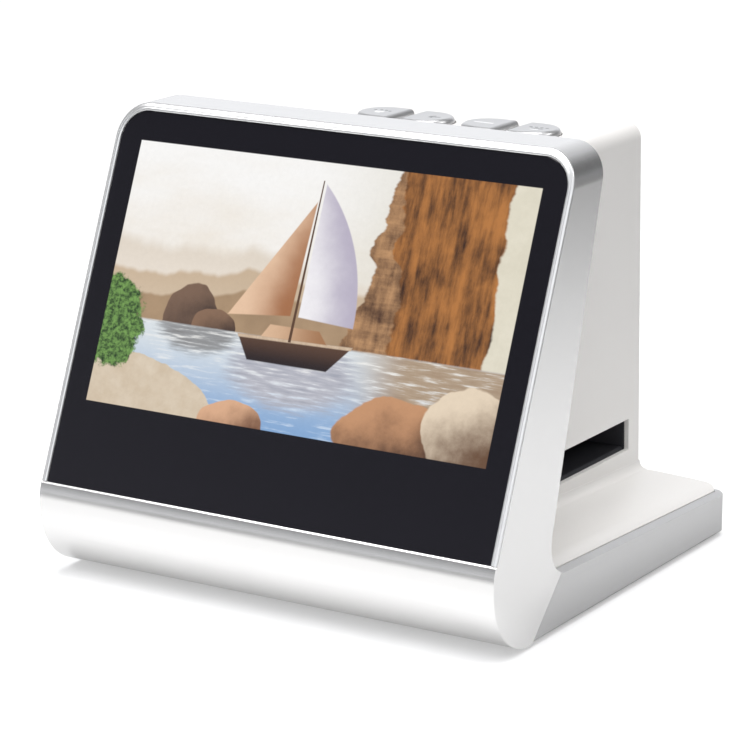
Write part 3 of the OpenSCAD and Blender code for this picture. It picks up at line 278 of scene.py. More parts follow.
def plainFinish(name, colour, roughness, metallic=0.0, grain=1500.0, height=0.00003, shade=0.06):
    material, tree, shader = startMaterial(name, Metallic=metallic)
    point = objectPoint(tree)
    cloud = noise(tree, point, 60.0)
    dark = tuple(channel * (1 - shade) for channel in colour)
    tree.links.new(blendColour(tree, cloud, dark, colour), shader.inputs["Base Color"])
    tree.links.new(spread(tree, cloud, roughness - 0.04, roughness + 0.04), shader.inputs["Roughness"])
    bumps(tree, shader, noise(tree, point, grain, detail=2.0), height, 0.3)
    return material


def silverFinish(name, specs):
    shares = {"brush": 0.55, "cloud": 0.25, "speck": 0.2}  # of the tone between dark and light
    material, tree, shader = startMaterial(name, Metallic=specs["metallic"])
    point = objectPoint(tree)
    brush = noise(tree, point, specs["lineScale"], detail=2.0, stretch=specs["lines"])
    speck = noise(tree, point, 2600.0, detail=1.0)
    cloud = noise(tree, point, 25.0)
    clouded = calc(tree, "MULTIPLY", cloud, shares["cloud"])
    tone = calc(tree, "MULTIPLY_ADD", brush, shares["brush"], clouded)
    tone = calc(tree, "MULTIPLY_ADD", speck, shares["speck"], tone)
    dark = tuple(channel * specs["dark"] for channel in specs["colour"])
    colour = blendColour(tree, tone, dark, specs["colour"])
    if "foot" in specs:  # painted shade: the colour darkens towards the foot, up to this height
        height = addNode(tree, "ShaderNodeSeparateXYZ", {0: point}).outputs["Z"]
        shade = rise(tree, height, 0.0, specs["foot"], specs["footShadeTone"], 1.0)
        colour = shaded(tree, colour, shade)
    tree.links.new(colour, shader.inputs["Base Color"])
    rough = specs["roughness"]
    tree.links.new(spread(tree, brush, rough - 0.05, rough + 0.06), shader.inputs["Roughness"])
    bumps(tree, shader, calc(tree, "ADD", brush, speck), 0.00002, specs["relief"])
    return material


# Silver with fine brush lines: the lines run along the axis whose number is small. The foot values give
# painted shade: the colour darkens towards the floor, up to that height in metres
frameSpecs = {
    "colour": (0.86, 0.853, 0.845), "metallic": 0.9, "roughness": 0.23, "lines": (0.03, 1, 1),
    "lineScale": 900.0, "dark": 0.88, "relief": 0.20, "foot": 0.014, "footShadeTone": 0.86,
}
# The base's silver is a darker copy of the frame's silver: painted shade for the shadowed floor that its
# sides mirror
baseSpecs = {
    "colour": (0.62, 0.617, 0.617), "metallic": 0.6, "roughness": 0.32, "lines": (1, 0.03, 1),
    "lineScale": 900.0, "dark": 0.93, "relief": 0.25, "foot": 0.011, "footShadeTone": 0.80,
}
lipSpecs = {
    "colour": (0.90, 0.90, 0.90), "metallic": 0.7, "roughness": 0.24, "lines": (0.1, 0.1, 0.1),
    "lineScale": 900.0, "dark": 0.97, "relief": 0.05,
}

finishes = {
    "frame_silver": silverFinish("frameSilver", frameSpecs),
    "trim_silver": silverFinish("lipSilver", lipSpecs),
    "white_shell": plainFinish("whiteShell", (0.83, 0.81, 0.785), 0.40, shade=0.02),
    "cover_glass": plainFinish("coverGlass", (0.012, 0.012, 0.016), 0.06, height=0.0),
    "black_tape": plainFinish("blackTape", (0.02, 0.02, 0.02), 0.8),
    "display": plainFinish("displayModule", (0.05, 0.05, 0.06), 0.25),
    "steel_sheet": plainFinish("steelSheet", (0.55, 0.56, 0.57), 0.32, metallic=1.0),
    "screw_steel": plainFinish("screwSteel", (0.22, 0.22, 0.23), 0.35, metallic=1.0),
    "circuit_board": plainFinish("circuitBoard", (0.02, 0.13, 0.05), 0.4, shade=0.25),
    "black_plastic": plainFinish("blackPlastic", (0.036, 0.036, 0.042), 0.55),
    "foot_rubber": plainFinish("footRubber", (0.025, 0.025, 0.025), 0.75),
    "lamp_white": plainFinish("lampWhite", (0.82, 0.82, 0.80), 0.45),
    "opal": plainFinish("opal", (0.88, 0.88, 0.85), 0.3),
    "led_yellow": plainFinish("ledYellow", (0.85, 0.7, 0.25), 0.2),
    "lens_glass": plainFinish("lensGlass", (0.25, 0.35, 0.4), 0.05),
    "sensor_glass": plainFinish("sensorGlass", (0.05, 0.08, 0.08), 0.08),
    "key_silver": plainFinish("keySilver", (0.60, 0.60, 0.605), 0.30, metallic=0.7, grain=2600.0,
                              height=0.000006, shade=0.03),
    "socket_steel": plainFinish("socketSteel", (0.6, 0.6, 0.62), 0.25, metallic=1.0),
    "flat_cable": plainFinish("flatCable", (0.5, 0.32, 0.12), 0.35),
}
baseSilverShaded = silverFinish("baseSilverShaded", baseSpecs)
contactGold = plainFinish("contactGold", (0.83, 0.62, 0.27), 0.25, metallic=1.0)
markLight = plainFinish("markLight", (0.93, 0.93, 0.93), 0.35, shade=0.02)
markGrey = plainFinish("markGrey", (0.27, 0.27, 0.28), 0.4, shade=0.04)

for entry in frame["record"]["subparts"]:
    node = frame["nodes"][entry["node"]]
    node.data.materials.clear()
    node.data.materials.append(finishes[entry["material_slot"]])
    for polygon in node.data.polygons:
        polygon.use_smooth = True
print("stage: finishes on the CAD nodes")


lean = math.radians(22.5)
glass = {"y": -57.9, "z": 23.85}  # the foot of its face, in millimetres, as in the CAD
outline = {"half": 62.5, "top": 110.8, "corner": 8.3}


def addPiece(name, mesh, finish, body="scanner", stands=()):
    piece = bpy.data.objects.new(name, mesh)
    bpy.context.scene.collection.objects.link(piece)
    mesh.materials.clear()
    mesh.materials.append(finish)
    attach(piece, body)
    if stands:
        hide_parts(*stands)


# Smooth shading round the curves, with the flat faces kept flat
def evenNormals(mesh, angle=32.0, weighed=True):
    for old in ("custom_normal", "sharp_edge"):  # what a copy brings from the CAD mesh
        if old in mesh.attributes:
            mesh.attributes.remove(mesh.attributes[old])
    mesh.polygons.foreach_set("use_smooth", [True] * len(mesh.polygons))
    mesh.set_sharp_from_angle(angle=math.radians(angle))
    if not weighed:
        return mesh
    holder = bpy.data.objects.new("holder", mesh)
    bpy.context.scene.collection.objects.link(holder)
    weigh = holder.modifiers.new("weigh", "WEIGHTED_NORMAL")
    weigh.keep_sharp = True
    weigh.weight = 80
    depsgraph = bpy.context.evaluated_depsgraph_get()
    result = bpy.data.meshes.new_from_object(holder.evaluated_get(depsgraph))
    bpy.data.objects.remove(holder)
    return result


def cadMesh(node):
    work = bmesh.new()
    work.from_mesh(frame["nodes"][node].data)
    bmesh.ops.remove_doubles(work, verts=work.verts, dist=2e-6)
    return work


# A copy of a CAD node's mesh, with the edges that a rule picks cut to a fine round
def softCopy(node, name, picks, width):
    flat, sharp = math.radians(0.5), math.radians(20.0)
    work = cadMesh(node)
    bmesh.ops.dissolve_limit(work, angle_limit=flat, verts=work.verts, edges=work.edges)
    work.normal_update()
    chosen = []
    for edge in work.edges:
        if not edge.is_manifold or edge.calc_face_angle(0) < sharp:
            continue
        if all(picks(*[value * 1000 for value in vert.co]) for vert in edge.verts):
            chosen.append(edge)
    bmesh.ops.bevel(work, geom=chosen, offset=width * mm, offset_type="OFFSET", segments=2,
                    profile=0.5, affect="EDGES", clamp_overlap=True)
    bmesh.ops.triangulate(work, faces=[face for face in work.faces if len(face.verts) > 4])
    for edge in work.edges:
        edge.smooth = True  # the sharp edges are found anew
    mesh = bpy.data.meshes.new(name)
    work.to_mesh(mesh)
    work.free()
    return evenNormals(mesh)


def offOutline(x, z):  # how far a point lies inside the frame's front outline
    side = abs(x)
    across, up = outline["half"] - outline["corner"], outline["top"] - outline["corner"]
    if side > across and z > up:
        return outline["corner"] - math.hypot(side - across, z - up)
    return min(outline["half"] - side, outline["top"] - z)


def outOfGlass(y, z):  # distance in front of the glass
    return -(y - glass["y"]) * math.cos(lean) + (z - glass["z"]) * math.sin(lean)


rounds = {"frame": 0.4, "base": 0.3, "shell": 0.25, "mouth": 0.2, "glass": 0.12}  # millimetres
tower = {"half": 38.25, "foot": 13.7, "draft": 0.017455}  # the draft is its slope, one degree


def frameEdge(x, y, z):  # the outline at the front and back, but not under the lip
    atLip = outOfGlass(y, z) > -1.3 and z > 23.4
    return abs(offOutline(x, z)) < 0.03 and not atLip


addPiece("frameMoulding", softCopy("front_frame", "frameMoulding", frameEdge, rounds["frame"]),
         finishes["frame_silver"], stands=["front_frame"])


def baseEdge(x, y, z):  # the outside, and the rails' ends at the back
    return abs(x) > 62.45 or y > 59.05 or (z > 10.2 and y > 54 and abs(x) > 59)


addPiece("silverBase", softCopy("base_pan", "silverBase", baseEdge, rounds["base"]), baseSilverShaded,
         stands=["base_pan"])


def towerHalf(z):
    return tower["half"] - (z - tower["foot"]) * tower["draft"]


def shellEdge(x, y, z):
    mouth = -8 < y < 53 and 19.5 < z < 28.3 and abs(abs(x) - towerHalf(z)) < 0.06
    keyHoles = abs(z - 102.4) < 0.02
    ports = y > 58.55 and z > 60
    deckRim = z > 10 and (abs(x) > 60.1 or y > 58.5)
    return mouth or keyHoles or ports or deckRim


addPiece("whiteHousing", softCopy("rear_housing", "whiteHousing", shellEdge, rounds["shell"]),
         finishes["white_shell"], stands=["rear_housing"])


def mouthEdge(x, y, z):  # the channel's two ends
    return abs(x) > 35.2


for node, name in (("film_track", "channelFloor"), ("film_guide", "channelCeiling")):
    addPiece(name, softCopy(node, name, mouthEdge, rounds["mouth"]), finishes["black_plastic"],
             stands=[node])
print("stage: housings with rounded edges")


# The lip round the glass: a low bead with its crest near the glass, in one sweep over three sides
def makeLip():
    lip = {
        "inner": (61.1, 109.05, 6.9),  # half width, top and corner round the glass
        "steps": 24,  # on each corner
        "slack": 0.001,  # how far the outer edge stays inside the frame's outline
        "section": [(0.0, -0.25), (0.0, 0.10), (0.05, 0.17), (0.12, 0.22), (0.36, 0.34), (0.40, 0.26),
                    (0.46, 0.28), (0.50, 0.41), (0.62, 0.47), (0.69, 0.49), (0.76, 0.49), (0.82, 0.45),
                    (0.98, 0.30), (1.0, 0.26), (1.0, -0.25)],  # part of the way in, and height
    }

    def ring(half, top, corner):
        points = [(half, None), (half, top - corner)]
        for step in range(1, lip["steps"] + 1):
            turn = math.radians(90 * step / lip["steps"])
            x, z = half - corner + corner * math.cos(turn), top - corner + corner * math.sin(turn)
            points.append((x, z))
        return points + [(-x, z) for x, z in reversed(points)]

    outer = ring(outline["half"] - lip["slack"], outline["top"] - lip["slack"], outline["corner"])
    inner = ring(*lip["inner"])
    work = bmesh.new()
    rows = []
    for (x0, z0), (x1, z1) in zip(outer, inner):
        row = []
        for across, out in lip["section"]:
            x = x0 + (x1 - x0) * across
            if z0 is None:
                y, z = glass["y"] - out * math.cos(lean), glass["z"] + out * math.sin(lean)
            else:
                z = z0 + (z1 - z0) * across
                y = glass["y"] + (z - glass["z"]) * math.tan(lean) - out / math.cos(lean)
            row.append(work.verts.new((x * mm, y * mm, z * mm)))
        rows.append(row)
    count = len(lip["section"])
    for low, high in zip(rows, rows[1:]):
        for k in range(count):
            work.faces.new((low[k], low[(k + 1) % count], high[(k + 1) % count], high[k]))
    work.faces.new(list(reversed(rows[0])))
    work.faces.new(rows[-1])
    bmesh.ops.recalc_face_normals(work, faces=work.faces)
    mesh = bpy.data.meshes.new("glassLip")
    work.to_mesh(mesh)
    work.free()
    addPiece("glassLip", evenNormals(mesh, 50, weighed=False), finishes["trim_silver"],
             stands=["screen_trim"])


makeLip()


# The picture that the screen shows: a sailing boat on a lake before hills, under a tall brown cliff
def paintPicture(tree, x, y):
    flat = addNode(tree, "ShaderNodeCombineXYZ", {0: x, 1: y}).outputs[0]
    lumps = noise(tree, flat, 6.0, detail=3.0, roughness=0.5)
    rough = noise(tree, flat, 9.0, detail=8.0, roughness=0.66)
    fine = noise(tree, flat, 46.0, detail=5.0, roughness=0.75)
    ripple = noise(tree, flat, 5.0, detail=6.0, stretch=(1.6, 14.0, 1.0))
    clouds = noise(tree, flat, 2.2, detail=5.0, stretch=(0.8, 2.2, 1.0))
    ridge = noise(tree, flat, 2.4, detail=4.0, roughness=0.5, stretch=(1.0, 0.0, 1.0))
    wall = noise(tree, flat, 3.0, detail=5.0, roughness=0.55, stretch=(0.0, 1.0, 1.0))
    strands = noise(tree, flat, 6.0, detail=7.0, roughness=0.62, stretch=(4.0, 0.7, 1.0))
    beds = noise(tree, flat, 6.0, detail=5.0, stretch=(0.5, 5.0, 1.0))
    shore = 0.335

    def mixed(level, a, b):
        return blendColour(tree, level, shown(a), shown(b))

    def both(*masks):
        mask = masks[0]
        for other in masks[1:]:
            mask = calc(tree, "MINIMUM", mask, other)
        return mask

    def plus(a, scale, b):
        return calc(tree, "MULTIPLY_ADD", a, scale, b)

    def blob(cx, cy, rx, ry, ragged=0.5, soft=0.05, shape=lumps):
        dx, dy = plus(x, 1 / rx, -cx / rx), plus(y, 1 / ry, -cy / ry)
        far = plus(dx, dx, calc(tree, "MULTIPLY", dy, dy))
        return rise(tree, plus(shape, ragged * 2, calc(tree, "ADD", far, -ragged)), 1 + soft, 1 - soft)

    def lit(cx, cy, rx, ry):  # light from above left on a rounded thing
        slope = calc(tree, "ADD", plus(x, -0.6 / rx, 0.6 * cx / rx), plus(y, 1 / ry, -cy / ry))
        return rise(tree, plus(rough, 1.6, plus(lumps, 1.4, slope)), 0.5, 2.5)

    def inside(corners, soft=0.003):  # corners in order, turning to the left
        sides = []
        for (ax, ay), (bx, by) in zip(corners, corners[1:] + corners[:1]):
            length = math.hypot(bx - ax, by - ay)
            nx, ny = (ay - by) / length, (bx - ax) / length
            sides.append(rise(tree, plus(x, nx, plus(y, ny, -nx * ax - ny * ay)), -soft, soft))
        return both(*sides)

    def under(height, slope=0.0, wobble=0.0, soft=0.006):
        line = plus(x, slope, plus(ridge, wobble, height - wobble / 2))
        return rise(tree, calc(tree, "SUBTRACT", line, y), -soft, soft)

    def beyond(edge, slope, wobble, soft=0.006):  # right of a ragged line
        line = plus(y, slope, plus(wall, wobble, edge - wobble / 2))
        return rise(tree, plus(lumps, 0.06, calc(tree, "SUBTRACT", x, line)), -soft, soft)

    def stone(cx, cy, rx, ry, dark, pale):
        return blob(cx, cy, rx, ry), mixed(lit(cx, cy, rx, ry), dark, pale)

    colour = mixed(rise(tree, plus(clouds, 0.9, y), 0.75, 1.5), "efe6d8", "fdfcfa")
    colour = blendColour(tree, rise(tree, x, 0.7, 1.5), colour, shown("e3dfd2"))
    sheet = under(shore)
    grit = plus(rough, 0.6, calc(tree, "MULTIPLY", strands, 0.4))
    rock = rise(tree, plus(beds, 0.35, grit), 0.45, 0.90)
    folds = rise(tree, plus(lumps, 0.45, plus(rough, 0.35, strands)), 0.62, 1.12)
    jib = [(0.54, 0.40), (0.806, 0.425), (0.822, 0.85)]
    mainSail = [(0.840, 0.425), (1.20, 0.405), (0.848, 1.20)]
    hull = [(0.60, shore), (0.66, 0.245), (1.00, 0.245), (1.09, 0.345)]
    rail = [(0.60, shore), (0.604, 0.324), (1.085, 0.333), (1.09, 0.345)]
    cabin = [(0.70, 0.337), (0.98, 0.341), (0.94, 0.385), (0.73, 0.385)]
    mast = [(0.818, 0.33), (0.830, 0.33), (0.834, 0.93), (0.829, 0.93)]
    mainBow, jibBow = blob(0.42, 0.42, 0.655, 0.655, 0.0, 0.01), blob(1.05, 0.25, 0.66, 0.66, 0.0, 0.01)
    glints, greens = rise(tree, ripple, 0.50, 0.74), rise(tree, fine, 0.35, 0.65)
    mainBend = rise(tree, plus(x, 1.0, plus(y, 0.25, calc(tree, "MULTIPLY", lumps, 0.16))), 1.00, 1.27)
    jibBend = rise(tree, plus(x, 1.0, plus(y, -0.3, calc(tree, "MULTIPLY", lumps, 0.12))), 0.50, 0.73)
    layers = [  # where each lies and its colour, from the back to the front
        (under(0.64, -0.05, 0.30, 0.03), mixed(rise(tree, y, 0.4, 0.7), "f0e6d9", "e2d7c8")),
        (under(0.52, 0.03, 0.26, 0.012), mixed(rise(tree, y, 0.3, 0.6), "dac7ae", "cbb498")),
        (under(0.43, 0.06, 0.20, 0.008), mixed(lumps, "8d7458", "c4a684")),
        (beyond(1.02, 0.16, 0.34), mixed(rock, "4a3120", "cd9e70")),
        (beyond(1.30, -0.10, 0.30), mixed(folds, "2c1c10", "bb7c40")),
        (beyond(1.66, -0.02, 0.14), mixed(rough, "d8d2bd", "f0ead8")),
        (blob(0.38, 0.36, 0.12, 0.13), mixed(lit(0.38, 0.36, 0.12, 0.13), "2a211c", "7d6350")),
        (blob(0.49, 0.34, 0.10, 0.07), mixed(lit(0.49, 0.34, 0.10, 0.07), "241c18", "8a6c55")),
        (sheet, mixed(rise(tree, y, 0.34, -0.02), "dfe6ea", "86abd6")),
        (both(sheet, rise(tree, x, 1.05, 1.35)), mixed(ripple, "8c6b4c", "d3c3ac")),
        (both(sheet, blob(0.43, 0.34, 0.17, 0.10, 0.9, 0.5, ripple)), mixed(ripple, "6a645f", "b9bec2")),
        (both(sheet, blob(0.86, 0.22, 0.26, 0.13, 0.9, 0.5, ripple)), mixed(ripple, "7d8596", "e6e4ea")),
        (both(sheet, glints), mixed(rise(tree, y, 0.30, 0.0), "f7f6f2", "c4d8ef")),
        (blob(0.12, -0.02, 0.46, 0.22, 0.3, 0.02), mixed(rough, "bfa888", "efe3d0")),
        (blob(0.03, 0.31, 0.16, 0.17, 1.1, 0.12, rough), mixed(greens, "233d1b", "7ba656")),
        (inside(hull), mixed(rise(tree, y, 0.24, 0.34), "241c19", "5a4130")),
        (inside(rail), mixed(fine, "b99b7c", "e7d3bb")),
        (inside(cabin), mixed(rise(tree, x, 0.7, 0.98), "e0bb99", "a67852")),
        (inside(mast, 0.002), mixed(fine, "4b3524", "6b4d36")),
        (both(inside(mainSail), mainBow), mixed(mainBend, "fbf9fb", "bdb6c8")),
        (both(inside(jib), jibBow), mixed(jibBend, "ecc8a8", "a8714a")),
        stone(1.33, 0.05, 0.24, 0.14, "3f2819", "c9966e"),
        stone(1.62, 0.11, 0.19, 0.17, "6b4e36", "ead8bf"),
        stone(0.64, 0.00, 0.14, 0.09, "6a442c", "dfb08c"),
    ]
    for mask, paint in layers:
        colour = blendColour(tree, mask, colour, paint)
    return shaded(tree, colour, plus(fine, 0.14, 0.92))  # fine grain all over


def glassFinish():
    screen = {"left": -55.0, "low": 20.8, "width": 110.0, "height": 64.1, "light": 0.95,
              "border": (0.0115, 0.0108, 0.0155)}
    material, tree, shader = startMaterial("printedGlass", Roughness=0.05)
    place = addNode(tree, "ShaderNodeSeparateXYZ", {0: objectPoint(tree)})
    height, width = screen["height"], screen["width"]
    u = calc(tree, "MULTIPLY_ADD", place.outputs["X"], 1000 / width, -screen["left"] / width)
    rate = 1000 / math.cos(lean) / height
    shift = -(glass["z"] / math.cos(lean) + screen["low"]) / height
    v = calc(tree, "MULTIPLY_ADD", place.outputs["Z"], rate, shift)
    softU, softV = 0.002, 0.003
    edges = [rise(tree, u, 0.0, softU), rise(tree, u, 1.0, 1 - softU),
             rise(tree, v, 0.0, softV), rise(tree, v, 1.0, 1 - softV)]
    window = edges[0]
    for edge in edges[1:]:
        window = calc(tree, "MULTIPLY", window, edge)
    picture = paintPicture(tree, calc(tree, "MULTIPLY", u, width / height), v)
    tree.links.new(blendColour(tree, window, (0, 0, 0), picture), shader.inputs["Emission Color"])
    shader.inputs["Emission Strength"].default_value = screen["light"]
    cloud = noise(tree, objectPoint(tree), 40.0)
    dark = tuple(channel * 0.9 for channel in screen["border"])
    tree.links.new(blendColour(tree, cloud, dark, screen["border"]), shader.inputs["Base Color"])
    return material


def glassEdge(x, y, z):
    return outOfGlass(y, z) > -0.05


addPiece("screenGlass", softCopy("cover_glass", "screenGlass", glassEdge, rounds["glass"]),
         glassFinish(), stands=["cover_glass"])
print("stage: lip, glass and picture")


keyRow = {
    "names": ["home", "left", "right", "scan"],
    "xs": [-22.25, -7.65, 7.65, 22.25],
    "y": 31.1,
    "width": 11.5,
    "depth": 14.2,
    "cornerRound": 0.5,
    "top": 103.9,
    "edge": (1.1, 1.4),  # how far the round at the top reaches in and down
    "hollow": [(0.04, 0.7), (0.10, 2.4)],  # how deep, and how far in from the round
    "flange": (99.0, 100.3, 0.9),  # from, to, how far out
    "stem": (94.9, 99.2, 4.0, 1.2),  # from, to, length, width
    "steps": {"bow": 32, "corner": 4, "edge": 7},
}


def prism(work, points, low, high):
    bottom = [work.verts.new((x * mm, y * mm, low * mm)) for x, y in points]
    top = [work.verts.new((x * mm, y * mm, high * mm)) for x, y in points]
    work.faces.new(list(reversed(bottom)))
    work.faces.new(top)
    for k in range(len(points)):
        n = (k + 1) % len(points)
        work.faces.new((bottom[k], bottom[n], top[n], top[k]))


def disc(cx, cy, r, count=16):
    turns = [2 * math.pi * k / count for k in range(count)]
    return [(cx + r * math.cos(turn), cy + r * math.sin(turn)) for turn in turns]


def bar(cx, cy, length, width, turn=0.0):
    c, s = math.cos(math.radians(turn)), math.sin(math.radians(turn))
    a, b = length / 2, width / 2
    corners = [(-a, -b), (a, -b), (a, b), (-a, b)]
    return [(cx + x * c - y * s, cy + x * s + y * c) for x, y in corners]


def keyOutline(grow):  # a bow on the left and two small corners on the right
    bow, corner = keyRow["steps"]["bow"], keyRow["steps"]["corner"]
    r = keyRow["depth"] / 2 + grow
    right = keyRow["width"] / 2 + grow
    points = []
    for k in range(bow + 1):
        turn = math.radians(90 + 180 * k / bow)
        points.append((r - right + r * math.cos(turn), r * math.sin(turn)))
    small = max(keyRow["cornerRound"] + grow, 0.15)
    for side, first in ((-1, 270), (1, 0)):
        for k in range(corner + 1):
            turn = math.radians(first + 90 * k / corner)
            x, y = right - small + small * math.cos(turn), side * (r - small) + small * math.sin(turn)
            points.append((x, y))
    return points


def makeKey(index):
    name = keyRow["names"][index]
    low, high, out = keyRow["flange"]
    (reach, drop), top = keyRow["edge"], keyRow["top"]
    steps = keyRow["steps"]["edge"]
    levels = [(low, out), (high, out), (high, 0.0), (top - drop, 0.0)]  # height, and how far out
    for step in range(1, steps + 1):
        turn = math.radians(90 * step / steps)
        levels.append((top - drop + drop * math.sin(turn), reach * (math.cos(turn) - 1)))
    levels += [(top - deep, -reach - across) for deep, across in keyRow["hollow"]]
    work = bmesh.new()
    rings = []
    for z, grow in levels:
        rings.append([work.verts.new((x * mm, y * mm, z * mm)) for x, y in keyOutline(grow)])
    for lower, upper in zip(rings, rings[1:]):
        for k in range(len(lower)):
            n = (k + 1) % len(lower)
            work.faces.new((lower[k], lower[n], upper[n], upper[k]))
    work.faces.new(list(reversed(rings[0])))
    work.faces.new(rings[-1])
    z0, z1, length, width = keyRow["stem"]
    for turn in (0, 90):
        prism(work, bar(0, 0, length, width, turn), z0, z1)
    place = Matrix.Translation((keyRow["xs"][index] * mm, keyRow["y"] * mm, 0))
    turned = place @ Matrix.Rotation(math.pi * (index % 2), 4, "Z")
    bmesh.ops.transform(work, matrix=turned, verts=work.verts)
    mesh = bpy.data.meshes.new(name + "Cap")
    work.to_mesh(mesh)
    work.free()
    addPiece(name + "Cap", evenNormals(mesh, 40), finishes["key_silver"], name + "_button",
             stands=[name + "_key"])


# Plain marks on the keys, in millimetres from each key's middle
def makeMarks():
    arch = [disc(-2.1 + 1.4 * k, 1.0 + 0.7 * math.sin(math.pi * k / 3), 0.42) for k in range(4)]
    arrow = [bar(1.3, 0.0, 2.6, 0.5, 8), bar(0.2, 0.7, 1.5, 0.5, 40), bar(0.2, -0.7, 1.5, 0.5, -40)]
    dots = [disc(-2.3 + 1.5 * k, 1.1, 0.45) for k in range(4)]
    low, high = keyRow["top"] - 0.3, keyRow["top"] - 0.07
    marks = {  # grey shapes, and light ones
        "home": (arch, [bar(0.0, -0.6, 2.6, 0.9), bar(0.0, -1.7, 1.4, 0.6)]),
        "left": (arrow, []),
        "right": ([], [bar(-0.3, 0.0, 5.4, 0.75)]),
        "scan": (dots + [bar(0.1, -0.4, 3.2, 0.5)], [bar(0.0, -1.6, 2.2, 0.6)]),
    }
    for name, groups in marks.items():
        index = keyRow["names"].index(name)
        for tone, shapes, finish in (("Grey", groups[0], markGrey), ("Light", groups[1], markLight)):
            if not shapes:
                continue
            work = bmesh.new()
            for shape in shapes:
                prism(work, [(x + keyRow["xs"][index], y + keyRow["y"]) for x, y in shape], low, high)
            mesh = bpy.data.meshes.new(name + "Mark" + tone)
            work.to_mesh(mesh)
            work.free()
            addPiece(mesh.name, mesh, finish, name + "_button")


for index in range(4):
    makeKey(index)
makeMarks()
print("stage: keys and their marks")


def startTree(name, sizes):
    tree = bpy.data.node_groups.new(name, "GeometryNodeTree")
    sockets = tree.interface
    sockets.new_socket("Geometry", in_out="INPUT", socket_type="NodeSocketGeometry")
    for key, value in sizes.items():
        socket = sockets.new_socket(key, in_out="INPUT", socket_type="NodeSocketFloat")
        socket.default_value = value
    sockets.new_socket("Material", in_out="INPUT", socket_type="NodeSocketMaterial")
    sockets.new_socket("Geometry", in_out="OUTPUT", socket_type="NodeSocketGeometry")
    return tree, addNode(tree, "NodeGroupInput").outputs


def joined(tree, *parts):
    node = addNode(tree, "GeometryNodeJoinGeometry")
    for part in parts:
        tree.links.new(part, node.inputs[0])
    return node.outputs[0]


def moved(tree, shape, height):
    offset = addNode(tree, "ShaderNodeCombineXYZ", {2: height}).outputs[0]
    return addNode(tree, "GeometryNodeTransform", {"Geometry": shape, "Translation": offset}).outputs[0]


def repeatOnPoints(tree, size, shape, turn=None):  # the end of each tree
    inputs = {"Points": size["Geometry"], "Instance": shape}
    if turn is not None:
        angles = addNode(tree, "ShaderNodeCombineXYZ", {0: turn}).outputs[0]
        inputs["Rotation"] = addNode(tree, "FunctionNodeEulerToRotation", {0: angles}).outputs[0]
    copies = addNode(tree, "GeometryNodeInstanceOnPoints", inputs)
    real = addNode(tree, "GeometryNodeRealizeInstances", {"Geometry": copies.outputs[0]})
    painted = addNode(tree, "GeometryNodeSetMaterial", {
        "Geometry": real.outputs[0], "Material": size["Material"]})
    addNode(tree, "NodeGroupOutput", {0: painted.outputs[0]})
    return tree


# The tree's result on these points (in millimetres), as a plain mesh
def growOn(name, tree, places, finish, **values):
    seed = bpy.data.meshes.new(name)
    seed.from_pydata([[value * mm for value in place] for place in places], [], [])
    holder = bpy.data.objects.new(name + "Points", seed)
    bpy.context.scene.collection.objects.link(holder)
    modifier = holder.modifiers.new("shape", "NODES")
    modifier.node_group = tree
    sockets = {}
    for item in tree.interface.items_tree:
        if item.in_out == "INPUT":
            sockets[item.name] = item.identifier
    for key, value in values.items():
        modifier[sockets[key]] = value
    modifier[sockets["Material"]] = finish
    depsgraph = bpy.context.evaluated_depsgraph_get()
    result = bpy.data.meshes.new_from_object(holder.evaluated_get(depsgraph))
    holder.modifiers.clear()
    bpy.data.objects.remove(holder)
    return result


def screwTree():
    tree, size = startTree("screws", {
        "headRadius": 2.0 * mm, "headHeight": 1.2 * mm, "shankRadius": 1.0 * mm,
        "shankLength": 6.0 * mm, "pitch": 0.75 * mm, "turn": 0.0})
    ridgeRadius = 0.15 * mm

    def part(key, share):
        return calc(tree, "MULTIPLY", size[key], share)

    head = addNode(tree, "GeometryNodeMeshCone", {
        "Vertices": 32, "Radius Bottom": part("headRadius", 0.84), "Radius Top": size["headRadius"],
        "Depth": size["headHeight"]})
    drop = part("headHeight", -1.0)
    long, short = part("headRadius", 1.2), part("headRadius", 0.3)
    recess = []
    for a, b, share in ((long, short, 1.0), (short, long, 0.92)):  # of two heights, so no faces meet
        extent = addNode(tree, "ShaderNodeCombineXYZ", {0: a, 1: b, 2: part("headHeight", share)})
        cube = addNode(tree, "GeometryNodeMeshCube", {"Size": extent.outputs[0]})
        recess.append(moved(tree, cube.outputs[0], drop))
    blank = moved(tree, head.outputs[0], drop)
    cut = addNode(tree, "GeometryNodeMeshBoolean", {0: blank}, operation="DIFFERENCE")
    for shape in recess:
        tree.links.new(shape, cut.inputs[1])
    core = addNode(tree, "GeometryNodeMeshCone", {
        "Vertices": 24, "Radius Bottom": part("shankRadius", 0.84),
        "Radius Top": part("shankRadius", 0.6), "Depth": size["shankLength"]})
    height = part("shankLength", 0.88)
    thread = addNode(tree, "GeometryNodeCurveSpiral", {
        "Resolution": 20, "Rotations": calc(tree, "DIVIDE", height, size["pitch"]),
        "Start Radius": part("shankRadius", 0.84), "End Radius": part("shankRadius", 0.66),
        "Height": height})
    ridge = addNode(tree, "GeometryNodeCurvePrimitiveCircle", {"Resolution": 3, "Radius": ridgeRadius})
    swept = addNode(tree, "GeometryNodeCurveToMesh", {
        0: thread.outputs[0], 1: ridge.outputs[0], "Fill Caps": True})
    screw = joined(tree, cut.outputs[0], core.outputs[0], swept.outputs[0])
    return repeatOnPoints(tree, size, screw, size["turn"])


